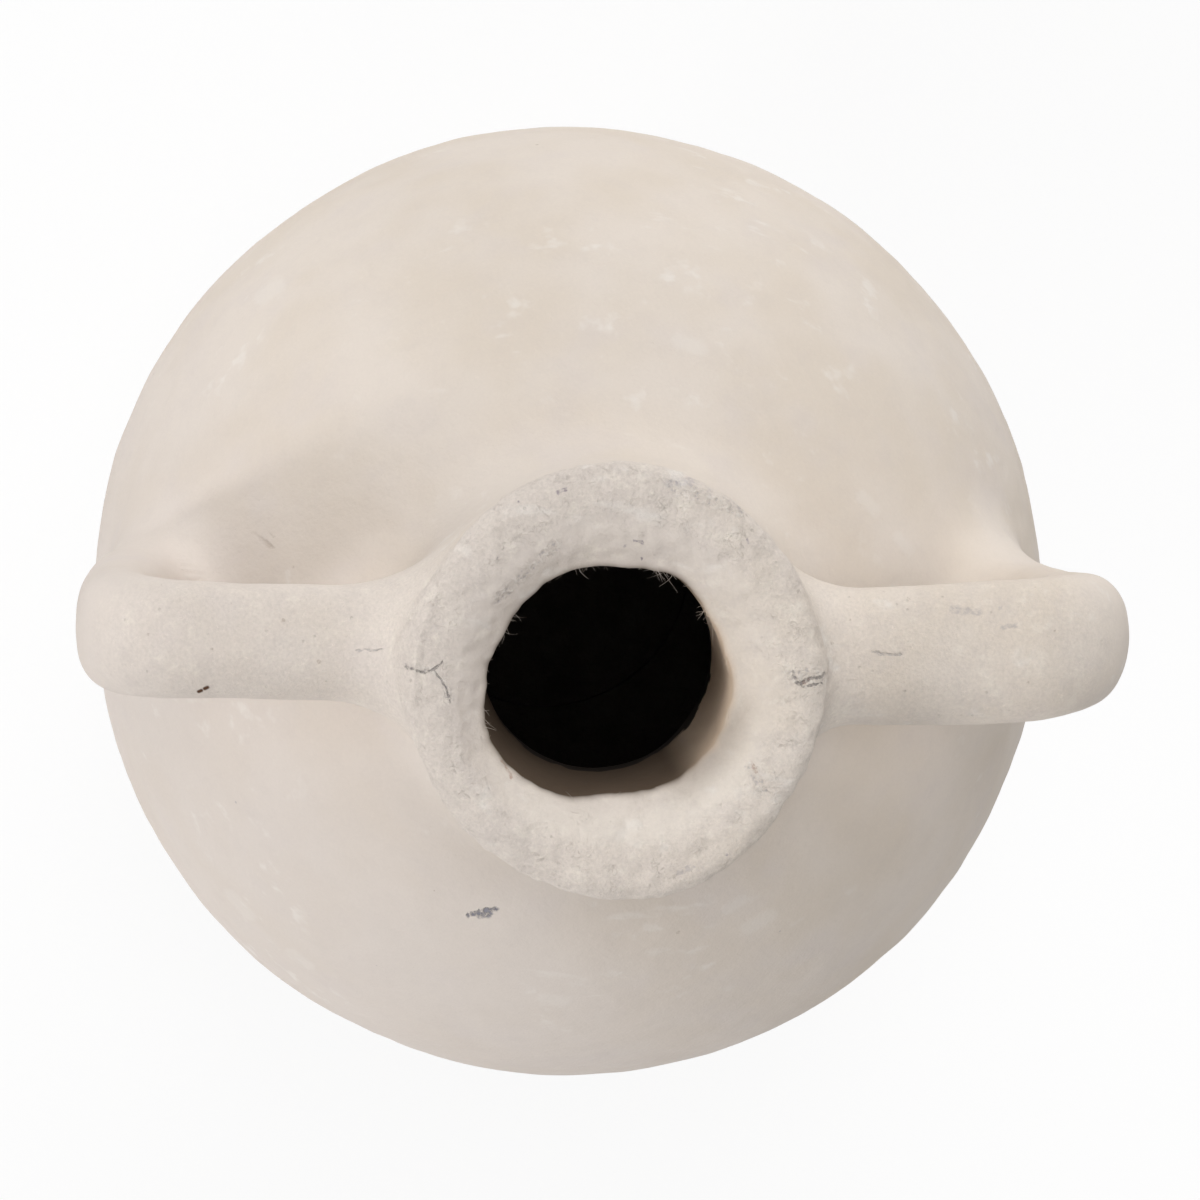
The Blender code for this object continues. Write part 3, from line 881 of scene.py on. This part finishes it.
def wall_grid():
    """Points of the whole wall: rows down its outside and up its inside, columns round it."""
    outline = np.concatenate([OUTSIDE, inside()[1:-1]])
    share = np.arange(COLUMNS) / COLUMNS
    turn = 2 * math.pi * share - SEAM_CROWDING * np.sin(4 * math.pi * share) / 2
    spoke = np.column_stack([np.cos(turn), np.sin(turn), np.zeros(COLUMNS)])
    radius = outline[:, 0, None] + mouth_offset(outline, turn)
    grid = radius[:, :, None] * spoke
    grid[:, :, 2] = outline[:, 1, None]
    ways = grid_normals(grid).reshape(-1, 3)
    points = grid.reshape(-1, 3)
    is_outside = np.arange(len(points)) < len(OUTSIDE) * COLUMNS
    in_line = np.abs(points[:, 1] - HANDLE_OFFSET) < ROOTS_WIDTH
    by_handles = (points[:, 2] > ROOTS_LOW) & (points[:, 2] < ROOTS_HIGH)
    near = is_outside & in_line & by_handles & (np.abs(points[:, 0]) > BORE_RADIUS)
    points[near] += ways[near] * rise_to_union(points[near], ways[near], WALL_RISE, "wall")[:, None]
    ways[near] = way_out(points[near])
    points = points + ways * lumps(points)[:, None]
    grid = points.reshape(grid.shape)
    grid[:, [0, COLUMNS // 2], 1] = 0
    return grid


def mark_area(stroke):
    """Number of a mark's area: arms, ends of the rim, then front and back of rim and shoulder."""
    x, y, z = stroke[0][0]
    if abs(y) < AREA_LINE:
        return (x > 0) + 2 * (abs(x) < AREA_REACH)
    return 4 + (y > 0) + 2 * (z < WORN_LOW)


def nearest_mark_area(points):
    """One more than the area of the nearest mark for each point, or 0 where no mark is near."""
    nearest_gap = np.full(len(points), MARK_REACH)
    areas = np.zeros(len(points), int)
    for stroke in (stroke for mark in MARKS for stroke in mark[0]):
        for place in stroke[0]:
            gap = np.linalg.norm((points - place) * STROKE_SCALE, axis=1) - stroke[1]
            is_nearer = gap < nearest_gap
            nearest_gap[is_nearer] = gap[is_nearer]
            areas[is_nearer] = 1 + mark_area(stroke)
    return areas


def shown(name, node, points, faces, materials, face_materials):
    """A smooth mesh piece, which may stand for a node, with the number of each face's material."""
    mesh = bpy.data.meshes.new(name)
    mesh.from_pydata(points.tolist(), [], faces)
    mesh.shade_smooth()
    for material in materials:
        mesh.materials.append(material)
    mesh.polygons.foreach_set("material_index", np.array(face_materials, np.int32))
    piece = bpy.data.objects.new(name, mesh)
    bpy.context.scene.collection.objects.link(piece)
    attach(piece, "root")
    if node:
        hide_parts(node)
    return piece


def half_wall(name, node, grid, first, materials):
    """One half of the wall, closed on the seam plane, with the whole wall's normals to hide the seam."""
    rows = len(grid)
    count = COLUMNS // 2 + 1
    columns = (first + np.arange(count)) % COLUMNS
    index = np.arange(rows * count).reshape(rows, count)
    below = np.roll(index, -1, axis=0)
    faces = np.stack([index[:, :-1], below[:, :-1], below[:, 1:], index[:, 1:]], axis=2).reshape(-1, 4)
    ends = [index[::-1, 0].tolist(), index[:, -1].tolist()]
    points = grid[:, columns].reshape(-1, 3)
    is_inner = (np.arange(rows) >= len(OUTSIDE)) & (grid[:, 0, 2] < NECK_BASE_HEIGHT + THROAT_ROUND)
    kinds = nearest_mark_area(points)[faces].max(axis=1)
    # Faces inside the body take the last material, near-black painted shade
    kinds[np.repeat(is_inner, count - 1)] = len(materials) - 1
    faces = faces.tolist() + ends
    piece = shown(name, node, points, faces, materials, kinds.tolist() + [0, 0])
    normals = grid_normals(grid)[:, columns].reshape(-1, 3)
    piece.data.normals_split_custom_set_from_vertices(normals.tolist())


def tube_faces(index):
    """Faces round and along a tube, from the numbers of its points, ring by ring."""
    beside = np.roll(index, -1, axis=1)
    return np.stack([index[:-1], beside[:-1], beside[1:], index[1:]], axis=2).reshape(-1, 4)


def handle_piece(name, node, strap, materials):
    """One handle, drawn into the wall at its roots, closed at its hidden ends."""
    points, ways = strap.rings()
    rings, sides = points.shape[:2]
    points = points.reshape(-1, 3)
    ways = ways.reshape(-1, 3)
    by_neck = smooth_step(BLEND_LOW, BLEND_HIGH, points[:, 2])
    spread = SHOULDER_SPREAD + (NECK_SPREAD - SHOULDER_SPREAD) * by_neck
    rise = rise_to_union(points, ways, spread, "handle")
    points = points + ways * rise[:, None]
    points = points + way_out(points) * lumps(points)[:, None]
    index = np.arange(rings * sides).reshape(rings, sides)
    faces = tube_faces(index)[:, :: -strap.side]
    ends = [index[0].tolist()[:: strap.side], index[-1].tolist()[:: -strap.side]]
    kinds = nearest_mark_area(points)[faces].max(axis=1)
    faces = faces.tolist() + ends
    shown(name, node, points, faces, materials, kinds.tolist() + [0, 0])


def disc_piece(materials):
    """The disc that closes the foot: slightly dished and lumpy, with a soft edge."""
    edge = DISC_RADIUS
    half = (DISC_TOP - DISC_BOTTOM) / 2
    outline = chain(
        [
            spaced(line((0, DISC_TOP), (edge - DISC_ROUND, DISC_TOP)), SHOULDER_GAP),
            spaced(arc((edge - DISC_ROUND, DISC_TOP - DISC_ROUND), DISC_ROUND, 90, 0), DISC_ROUND),
            spaced(line((edge, DISC_TOP - DISC_ROUND), (edge, DISC_BOTTOM + DISC_ROUND)), half),
            spaced(arc((edge - DISC_ROUND, DISC_BOTTOM + DISC_ROUND), DISC_ROUND, 0, -90), DISC_ROUND),
            spaced(line((edge - DISC_ROUND, DISC_BOTTOM), (0, DISC_BOTTOM)), SHOULDER_GAP),
        ]
    )
    turn = np.linspace(0, 2 * math.pi, DISC_COLUMNS, endpoint=False)
    ring = outline[1:-1]
    grid = ring[:, 0, None, None] * np.column_stack([np.cos(turn), np.sin(turn), np.zeros(DISC_COLUMNS)])
    grid[:, :, 2] = ring[:, 1, None]
    points = np.concatenate([grid.reshape(-1, 3), [[0, 0, DISC_TOP], [0, 0, DISC_BOTTOM]]])
    out = np.hypot(points[:, 0], points[:, 1])
    inner = 1 - smooth_step(DISC_FLAT_SHARE * edge, edge - DISC_ROUND, out)
    sign = np.where(points[:, 2] > DISC_BOTTOM + half, -1, 1)
    points[:, 2] += sign * inner * (DISC_DISH + DISC_DISH * DISC_LUMP_SHARE * LUMPS[1][0](points))
    index = np.arange(len(ring) * DISC_COLUMNS).reshape(len(ring), DISC_COLUMNS)
    beside = np.roll(index, -1, axis=1)
    faces = np.stack([index[:-1], index[1:], beside[1:], beside[:-1]], axis=2).reshape(-1, 4).tolist()
    top, bottom = len(points) - 2, len(points) - 1
    faces += [[top, a, b] for a, b in zip(index[0].tolist(), beside[0].tolist())]
    faces += [[bottom, b, a] for a, b in zip(index[-1].tolist(), beside[-1].tolist())]
    # The disc's top, inside the body, takes the second material, near-black painted shade
    kinds = [int(points[face, 2].mean() > DISC_BOTTOM + half) for face in faces]
    shown("foot_disc", "base_disc", points, faces, materials, kinds)


def fibre_tube(points, radius):
    """A fine tapered tube along a line of points."""
    step = np.gradient(points, axis=0)
    step /= np.linalg.norm(step, axis=1)[:, None]
    first = np.cross(step, FIBRE_SIDE_WAY)
    first /= np.linalg.norm(first, axis=1)[:, None]
    second = np.cross(step, first)
    thick = radius * np.linspace(1.0, FIBRE_TIP_SHARE, len(points))[:, None]
    turns = 2 * math.pi * np.arange(FIBRE_SIDES) / FIBRE_SIDES
    rings = [points + thick * (first * math.cos(turn) + second * math.sin(turn)) for turn in turns]
    index = np.arange(FIBRE_SIDES * len(points)).reshape(len(points), FIBRE_SIDES)
    ends = [index[0, ::-1].tolist(), index[-1].tolist()]
    return np.stack(rings, axis=1).reshape(-1, 3), tube_faces(index).tolist() + ends


def lip_fibres(material):
    """Loose pulp fibres that stand out of the lip's torn edge into the bore."""
    source = np.random.default_rng(FIBRE_SEED)
    points, faces = [], []
    up = np.array([0.0, 0.0, 1.0])
    share = np.linspace(0, 1, FIBRE_POINTS)[:, None]
    for middle, spread, count, longest in FIBRE_TUFTS:
        for turn in np.radians(source.normal(middle, spread, count)):
            radius = BORE_RADIUS + lip_line(turn) + FIBRE_ROOT
            out = np.array([math.cos(turn), math.sin(turn), 0.0])
            aside = np.array([-math.sin(turn), math.cos(turn), 0.0])
            way = -out + aside * source.normal(*FIBRE_ASIDE) + up * source.normal(*FIBRE_RISE)
            curl = aside * source.normal(*FIBRE_CURL_ASIDE) + out * source.normal(*FIBRE_CURL_OUT)
            curl = curl + up * source.normal(*FIBRE_CURL_RISE)
            length = longest * source.uniform(FIBRE_SHORTEST_SHARE, 1.0)
            root = out * radius + up * (HEIGHT - LIP_DROP + source.normal(*FIBRE_ROOT_RISE))
            strand = root + length * (way * share + curl * share**2 / 2)
            strand_points, strand_faces = fibre_tube(strand, FIBRE_RADIUS)
            start = sum(len(part) for part in points)
            faces += [[corner + start for corner in face] for face in strand_faces]
            points.append(strand_points)
    points = np.concatenate(points)
    shown("lip_fibres", None, points, faces, (material,), [0] * len(faces))


class Paint:
    """Short ways to add shader nodes to one tree and join them."""

    def __init__(self, tree):
        self.tree = tree

    def node(self, kind, inputs, **settings):
        node = self.tree.nodes.new("ShaderNode" + kind)
        for name, value in settings.items():
            setattr(node, name, value)
        for key, value in inputs.items():
            if isinstance(value, bpy.types.NodeSocket):
                self.tree.links.new(value, node.inputs[key])
            else:
                node.inputs[key].default_value = value
        return node

    def maths(self, operation, *values):
        return self.node("Math", dict(enumerate(values)), operation=operation).outputs[0]

    def times(self, first, second):
        return self.maths("MULTIPLY", first, second)

    def times_plus(self, first, second, third):
        return self.maths("MULTIPLY_ADD", first, second, third)

    def scaled(self, vector, share):
        return self.node("VectorMath", {0: vector, "Scale": share}, operation="SCALE").outputs[0]

    def length(self, vector):
        return self.node("VectorMath", {0: vector}, operation="LENGTH").outputs["Value"]

    def dot(self, first, second):
        return self.node("VectorMath", {0: first, 1: second}, operation="DOT_PRODUCT").outputs["Value"]

    def vectors(self, operation, *values):
        return self.node("VectorMath", dict(enumerate(values)), operation=operation).outputs[0]

    def ramp(self, value, low, high, start=0.0, end=1.0):
        """A soft change from start to end as a value goes from low to high."""
        inputs = {0: value, 1: low, 2: high, 3: start, 4: end}
        return self.node("MapRange", inputs, interpolation_type="SMOOTHSTEP").outputs[0]

    def noise(self, place, size, detail=2.0, roughness=0.5, distortion=0.0):
        """Cloudy noise whose lumps are about this size in metres."""
        inputs = {"Vector": place, "Scale": 1 / size, "Detail": detail, "Roughness": roughness}
        inputs["Distortion"] = distortion
        return self.node("TexNoise", inputs, noise_dimensions="3D").outputs[0]

    def pattern(self, place, noise, fade):
        """A noise that fades in between two of its values."""
        return self.ramp(self.noise(place, *noise), *fade)

    def cells(self, place, size):
        """Cells of about this size: the distance from the nearest one's middle, and its random values."""
        node = self.node("TexVoronoi", {"Vector": place, "Scale": 1 / size}, feature="F1")
        return node.outputs["Distance"], self.node("SeparateColor", {0: node.outputs["Color"]}).outputs

    def facing(self, flat, way):
        """1 where a place lies along a way from the vase's axis, -1 where it lies against it."""
        return self.dot(self.vectors("NORMALIZE", flat), way)

    def shaded(self, colour, value):
        """A colour made paler or darker by a value."""
        grey = self.node("CombineColor", {0: value, 1: value, 2: value}).outputs[0]
        return self.mix(1.0, colour, grey, "MULTIPLY")

    def mix(self, share, first, second, blend="MIX"):
        node = self.node("Mix", {0: share, 6: first, 7: second}, data_type="RGBA", blend_type=blend)
        return node.outputs[2]


def stroke_group():
    """Shader group that is 1 on a stroke between two places and fades to 0 at its edge."""
    tree = bpy.data.node_groups.new("stroke", "ShaderNodeTree")
    for name, kind in (("Place", "Vector"), ("Start", "Vector"), ("End", "Vector"), ("Radius", "Float")):
        tree.interface.new_socket(name, in_out="INPUT", socket_type="NodeSocket" + kind)
    tree.interface.new_socket("Share", in_out="OUTPUT", socket_type="NodeSocketFloat")
    paint = Paint(tree)
    source = tree.nodes.new("NodeGroupInput").outputs
    result = tree.nodes.new("NodeGroupOutput").inputs
    offset = paint.vectors("SUBTRACT", source["Place"], source["Start"])
    length = paint.vectors("SUBTRACT", source["End"], source["Start"])
    along = paint.dot(offset, length)
    whole = paint.dot(length, length)
    share = paint.node("Math", {0: along, 1: whole}, operation="DIVIDE", use_clamp=True).outputs[0]
    gap = paint.vectors("SUBTRACT", offset, paint.scaled(length, share))
    reach = paint.maths("DIVIDE", paint.length(gap), source["Radius"])
    tree.links.new(paint.ramp(reach, *STROKE_EDGE), result["Share"])
    return tree


def add_strokes(paint, group, place, strokes):
    """All the strokes of one kind as one share."""
    total = None
    for points, radius in strokes:
        for start, end in zip(points, points[1:] or points):
            node = paint.node("Group", {}, node_tree=group)
            paint.tree.links.new(place, node.inputs["Place"])
            node.inputs["Start"].default_value = np.multiply(start, STROKE_SCALE)
            node.inputs["End"].default_value = np.multiply(end, STROKE_SCALE) + STROKE_NUDGE
            node.inputs["Radius"].default_value = radius
            share = node.outputs["Share"]
            total = paint.maths("MAXIMUM", total, share) if total else share
    return total


def add_marks(paint, place, colour, area):
    """The cracks, creases, dents, specks and the lip's painted shade, with places of their own: the new
    colour, and their relief.
    """
    group = bpy.data.node_groups.get("stroke") or stroke_group()
    inputs = {"Vector": place, "Scale": 1 / WANDER_SIZE, "Detail": WANDER_DETAIL}
    wander = paint.vectors("SUBTRACT", paint.node("TexNoise", inputs).outputs["Color"], (NOISE_MIDDLE,) * 3)
    moved = paint.vectors("ADD", place, paint.scaled(wander, WANDER_REACH))
    drifted = paint.vectors("MULTIPLY", moved, STROKE_SCALE)
    plain = paint.vectors("MULTIPLY", place, STROKE_SCALE)
    broken = paint.pattern(place, *BREAKS)
    relief = 0.0
    for strokes, mark_colour, strength, edge, height in MARKS:
        own_strokes = [stroke for stroke in strokes if mark_area(stroke) == area]
        if not own_strokes:
            continue
        share = add_strokes(paint, group, plain if edge == "whole" else drifted, own_strokes)
        if edge == "broken":
            share = paint.times(share, broken)
        if edge == "crumbs":
            crumb = paint.maths("SUBTRACT", paint.noise(place, *CRUMB_NOISE), NOISE_MIDDLE)
            share = paint.times(crumb, share)
            colour = paint.mix(paint.ramp(share, *PALE_CRUMBS, 0.0, strength), colour, CHALK_COLOUR)
            colour = paint.mix(paint.ramp(share, *DARK_CRUMBS, 0.0, strength), colour, mark_colour)
        else:
            colour = paint.mix(paint.times(share, strength), colour, mark_colour)
        if height:
            relief = paint.times_plus(share, height, relief)
    return colour, relief


class Spot:
    """Where a point of the vase lies, as values of a shader."""

    def __init__(self, paint):
        self.place = paint.node("TexCoord", {}).outputs["Object"]
        parts = paint.node("SeparateXYZ", {0: self.place}).outputs
        self.height = parts["Z"]
        self.flat = paint.node("CombineXYZ", {"X": parts["X"], "Y": parts["Y"]}).outputs[0]
        self.radius = paint.length(self.flat)
        self.worn = paint.ramp(self.height, WORN_LOW, WORN_HIGH)
        self.rim = paint.ramp(self.height, *RIM_FADE)


def mottling(paint, spot):
    """The pale coat: clouds, cooler to one side, greyer on part of the rim, with painted light on the lip's
    front slope.
    """
    colour = paint.mix(paint.pattern(spot.place, *CLOUDS), PALE_COLOUR, SANDY_COLOUR)
    colour = paint.mix(paint.pattern(spot.place, *BLUSHES), colour, GREY_COLOUR)
    cool = paint.ramp(paint.dot(spot.place, COOL_WAY), *COOL_FADE, 0.0, COOL_SHARE)
    colour = paint.mix(cool, colour, COOL_COLOUR)
    greyness = paint.ramp(paint.facing(spot.flat, RIM_GREY_WAY), -1.0, 1.0)
    colour = paint.mix(paint.times(spot.rim, greyness), colour, RIM_COLOUR)
    # Painted light: the lip's slope paler, in cream, on the side that faces the back lights
    lip_light = paint.ramp(spot.radius, *LIP_PAINTED_LIGHT_OUTER, 0.0, LIP_PAINTED_LIGHT_SHARE)
    lip_light = paint.times(lip_light, paint.ramp(spot.radius, *LIP_PAINTED_LIGHT_INNER))
    lip_light = paint.times(lip_light, paint.ramp(paint.facing(spot.flat, LIP_PAINTED_LIGHT_WAY), *LIP_PAINTED_LIGHT_TURN))
    return paint.mix(lip_light, colour, CREAM_COLOUR)


def wear(paint, spot, colour):
    """Violet-grey stains, creamy rubbed places, and chalky blotches and streaks."""
    stain_share = paint.ramp(spot.worn, 0.0, 1.0, SMOOTH_STAIN, WORN_STAIN)
    stain = paint.times(paint.pattern(spot.place, *STAINS), stain_share)
    colour = paint.mix(stain, colour, STAIN_COLOUR)
    rubbed = paint.pattern(paint.vectors("ADD", spot.place, RUBBED_SHIFT), *RUBBED_PLACES)
    rubbed = paint.times(paint.times(rubbed, spot.worn), RUBBED_SHARE)
    colour = paint.mix(rubbed, colour, CREAM_COLOUR)
    blotch = paint.pattern(spot.place, *BLOTCHES)
    inputs = {"Vector": spot.place, "Rotation": STREAK_TURN, "Scale": STREAK_SCALE}
    streak = paint.pattern(paint.node("Mapping", inputs).outputs[0], *STREAKS)
    chalk = paint.times(paint.maths("MAXIMUM", blotch, streak), paint.pattern(spot.place, *CHALK_ZONES))
    return paint.mix(paint.times(chalk, CHALK_SHARE), colour, CHALK_COLOUR)


def fine_grain(paint, spot, colour):
    """Grain, short fibres and pits, stronger where worn: the new colour, and their relief."""
    grain = paint.noise(spot.place, *GRAIN_NOISE)
    curl = paint.maths("SUBTRACT", paint.noise(spot.place, *CURL_NOISE), NOISE_MIDDLE)
    fibre = paint.ramp(paint.maths("ABSOLUTE", curl), *FIBRE_LINE)
    fibre = paint.times(fibre, paint.pattern(spot.place, *FIBRE_ZONES))
    pit_gap, pit_picks = paint.cells(spot.place, PIT_CELL)
    pit = paint.times(paint.ramp(pit_gap, *PIT_EDGE), paint.ramp(pit_picks[0], *PIT_PICK))
    rough = paint.times_plus(spot.worn, 1 - SMOOTH_GRAIN, SMOOTH_GRAIN)
    rough = paint.times(rough, paint.ramp(spot.radius, *LIP_GRAIN_FADE, 1 - LIP_SMOOTHNESS, 1.0))
    rough = paint.times(rough, paint.ramp(spot.rim, 0.0, 1.0, 1.0, RIM_ROUGHNESS))
    grain_step = paint.times(paint.maths("SUBTRACT", grain, NOISE_MIDDLE), rough)
    value = paint.times_plus(grain_step, GRAIN_CONTRAST, 1.0)
    value = paint.times_plus(paint.times(fibre, rough), FIBRE_CONTRAST, value)
    value = paint.times_plus(paint.times(pit, spot.worn), -PIT_DARKNESS, value)
    fibre_relief = paint.ramp(spot.rim, 0.0, 1.0, ARM_FIBRE_RELIEF, RIM_FIBRE_RELIEF)
    relief = paint.times_plus(fibre, fibre_relief, paint.times(grain, GRAIN_RELIEF))
    relief = paint.times(paint.times_plus(pit, PIT_RELIEF, relief), rough)
    relief = paint.times_plus(paint.noise(spot.place, *FELT_NOISE), FELT_RELIEF, relief)
    return paint.shaded(colour, value), relief


def specks(paint, spot, colour):
    """Specks of other paper: few, small, brown or slate."""
    gap, picks = paint.cells(spot.place, SPECK_CELL)
    size = paint.times_plus(picks[1], SPECK_GROWTH, SPECK_LEAST)
    edge = paint.times_plus(paint.noise(spot.place, *SPECK_NOISE), SPECK_SHAKE, size)
    speck = paint.ramp(paint.maths("SUBTRACT", gap, edge), *SPECK_EDGE)
    speck = paint.times(speck, paint.ramp(picks[0], *SPECK_PICK))
    speck_colour = paint.mix(paint.ramp(picks[2], *SPECK_HUE), BROWN_COLOUR, SLATE_COLOUR)
    return paint.mix(paint.times(speck, SPECK_SHARE), colour, speck_colour)


def bore_pulp_with_painted_light_and_shade(paint, spot, colour):
    """Painted shade on the lip's slope, most at one side; the bore's bare pulp with painted light on its
    lit side and painted shade on the other; near-black painted shade deep down.
    """
    # Painted shade: the lip's slope darkened towards the bore, most on one side
    lip_shade = paint.ramp(spot.radius, *LIP_PAINTED_SHADE_FADE, 0.0, LIP_PAINTED_SHADE_SHARE)
    lip_shade = paint.times(lip_shade, paint.ramp(paint.facing(spot.flat, LIP_PAINTED_SHADE_WAY), *LIP_PAINTED_SHADE_TURN))
    colour = paint.mix(lip_shade, colour, LIP_PAINTED_SHADE_COLOUR)
    in_bore = paint.ramp(spot.radius, *BORE_FADE)
    depth = paint.ramp(spot.height, *BORE_EDGE_FADE)
    # The bore's bare pulp, pale on the side where light falls (painted light) and dark on the other
    # (painted shade)
    painted_light_side = paint.ramp(paint.facing(spot.flat, BORE_PAINTED_LIGHT_WAY), *BORE_PAINTED_LIGHT_TURN)
    bore_colour = paint.mix(painted_light_side, BORE_SHADE_SIDE_COLOUR, BORE_PAINTED_LIGHT_COLOUR)
    colour = paint.mix(paint.times(in_bore, depth), colour, bore_colour)
    # Painted shade: the bore near black deep down, with a ragged edge
    ragged = paint.times_plus(paint.noise(spot.place, *RAGGED_NOISE), RAGGED_DEPTH, spot.height)
    deep = paint.ramp(ragged, *BORE_DEEP_FADE)
    return paint.mix(paint.times(in_bore, deep), colour, BORE_DEEP_SHADE_COLOUR)


def new_material(name):
    material = bpy.data.materials.new(name)
    material.use_nodes = True
    return material, Paint(material.node_tree), material.node_tree.nodes["Principled BSDF"]


def coat(paint, shader, colour, relief, depth, roughness, shine):
    """Joins a colour, a relief of this depth and a roughness to a shader."""
    bump = paint.node("Bump", {"Strength": 1.0, "Distance": depth, "Height": relief}).outputs[0]
    for name, value in (("Base Color", colour), ("Normal", bump), ("Roughness", roughness)):
        paint.tree.links.new(value, shader.inputs[name])
    shader.inputs["Specular IOR Level"].default_value = shine


def pulp_material(name, area):
    """Matt painted pulp, with the marks of one area if one is given."""
    material, paint, shader = new_material(name)
    spot = Spot(paint)
    colour = wear(paint, spot, mottling(paint, spot))
    colour, relief = fine_grain(paint, spot, colour)
    colour = specks(paint, spot, colour)
    if area is not None:
        colour, mark_relief = add_marks(paint, spot.place, colour, area)
        relief = paint.maths("ADD", relief, mark_relief)
    colour = bore_pulp_with_painted_light_and_shade(paint, spot, colour)
    dryness = paint.pattern(spot.place, *DRYNESS)
    coat(paint, shader, colour, relief, RELIEF_DEPTH, dryness, PULP_SHINE)
    return material


def raw_material(name, colour, dark_colour):
    """Grainy pulp in two given colours: bare brown-grey under the disc in the foot, and near-black painted
    shade inside the vase.
    """
    material, paint, shader = new_material(name)
    place = paint.node("TexCoord", {}).outputs["Object"]
    tone = paint.mix(paint.pattern(place, *RAW_CLOUDS), colour, dark_colour)
    grain = paint.noise(place, *RAW_GRAIN_NOISE)
    tone = paint.shaded(tone, paint.ramp(grain, *RAW_SHADE))
    relief = paint.times_plus(paint.noise(place, *RAW_CURL_NOISE), RAW_CURL_RELIEF, grain)
    coat(paint, shader, tone, relief, 2 * RELIEF_DEPTH, paint.ramp(grain, *RAW_DRYNESS), RAW_SHINE)
    return material


def add_camera():
    data = bpy.data.cameras.new("camera")
    data.lens = CAMERA_LENS
    data.sensor_width = SENSOR
    camera = bpy.data.objects.new("camera", data)
    camera.location = CAMERA_PLACE
    camera.rotation_euler = Euler([math.radians(angle) for angle in CAMERA_TURN_DEG])
    bpy.context.scene.collection.objects.link(camera)
    bpy.context.scene.camera = camera


def add_floor():
    """A pale floor that looks almost white to the camera and still takes the vase's shadow."""
    bpy.ops.mesh.primitive_plane_add(size=FLOOR_SIZE)
    floor = bpy.context.object
    floor.name = "floor"
    material, paint, shader = new_material("floor")
    shader.inputs["Base Color"].default_value = FLOOR_COLOUR
    shader.inputs["Roughness"].default_value = FLOOR_ROUGHNESS
    path = paint.node("LightPath", {}).outputs
    seen = paint.maths("MAXIMUM", path["Is Camera Ray"], path["Is Glossy Ray"])
    seen = paint.maths("MAXIMUM", seen, path["Is Transmission Ray"])
    share = paint.times(seen, FLOOR_WHITE_SHARE)
    white = paint.node("Emission", {}).outputs[0]
    mixed = paint.node("MixShader", {0: share, 1: shader.outputs[0], 2: white}).outputs[0]
    paint.tree.links.new(mixed, paint.tree.nodes["Material Output"].inputs["Surface"])
    floor.data.materials.append(material)


def add_light(name, azimuth, elevation, softness, level):
    """A soft light from far off: its way and width in degrees, and its level on a white wall facing it."""
    data = bpy.data.lights.new(name, "SUN")
    data.energy = math.pi * level
    data.angle = math.radians(softness)
    light = bpy.data.objects.new(name, data)
    turn, rise = math.radians(azimuth), math.radians(elevation)
    way = Vector((math.cos(rise) * math.cos(turn), math.cos(rise) * math.sin(turn), math.sin(rise)))
    light.location = way
    light.rotation_euler = way.to_track_quat("Z", "Y").to_euler()
    bpy.context.scene.collection.objects.link(light)


def add_world():
    world = bpy.data.worlds.new("world")
    world.use_nodes = True
    background = world.node_tree.nodes["Background"]
    background.inputs["Color"].default_value = WORLD_COLOUR
    background.inputs["Strength"].default_value = WORLD_LEVEL
    bpy.context.scene.world = world


def main():
    bpy.context.scene.view_settings.view_transform = "Standard"
    pulp = [pulp_material("pale_pulp", None)]
    pulp += [pulp_material(f"marked_pulp_{area}", area) for area in range(MARK_AREAS)]
    # Near-black painted shade for the inside of the body and the top of the disc
    inside_shade = raw_material("inside_painted_shade", INSIDE_SHADE_COLOUR, INSIDE_DEEP_SHADE_COLOUR)
    raw_pulp = raw_material("raw_pulp", RAW_COLOUR, RAW_DARK_COLOUR)
    grid = wall_grid()
    half_wall("back_wall", "back_shell", grid, 0, (*pulp, inside_shade))
    half_wall("front_wall", "front_shell", grid, COLUMNS // 2, (*pulp, inside_shade))
    handle_piece("right_strap", "right_handle", RIGHT_STRAP, pulp)
    handle_piece("left_strap", "left_handle", LEFT_STRAP, pulp)
    disc_piece((raw_pulp, inside_shade))
    lip_fibres(pulp[0])
    add_camera()
    add_floor()
    for light in LIGHTS:
        add_light(*light)
    add_world()


main()
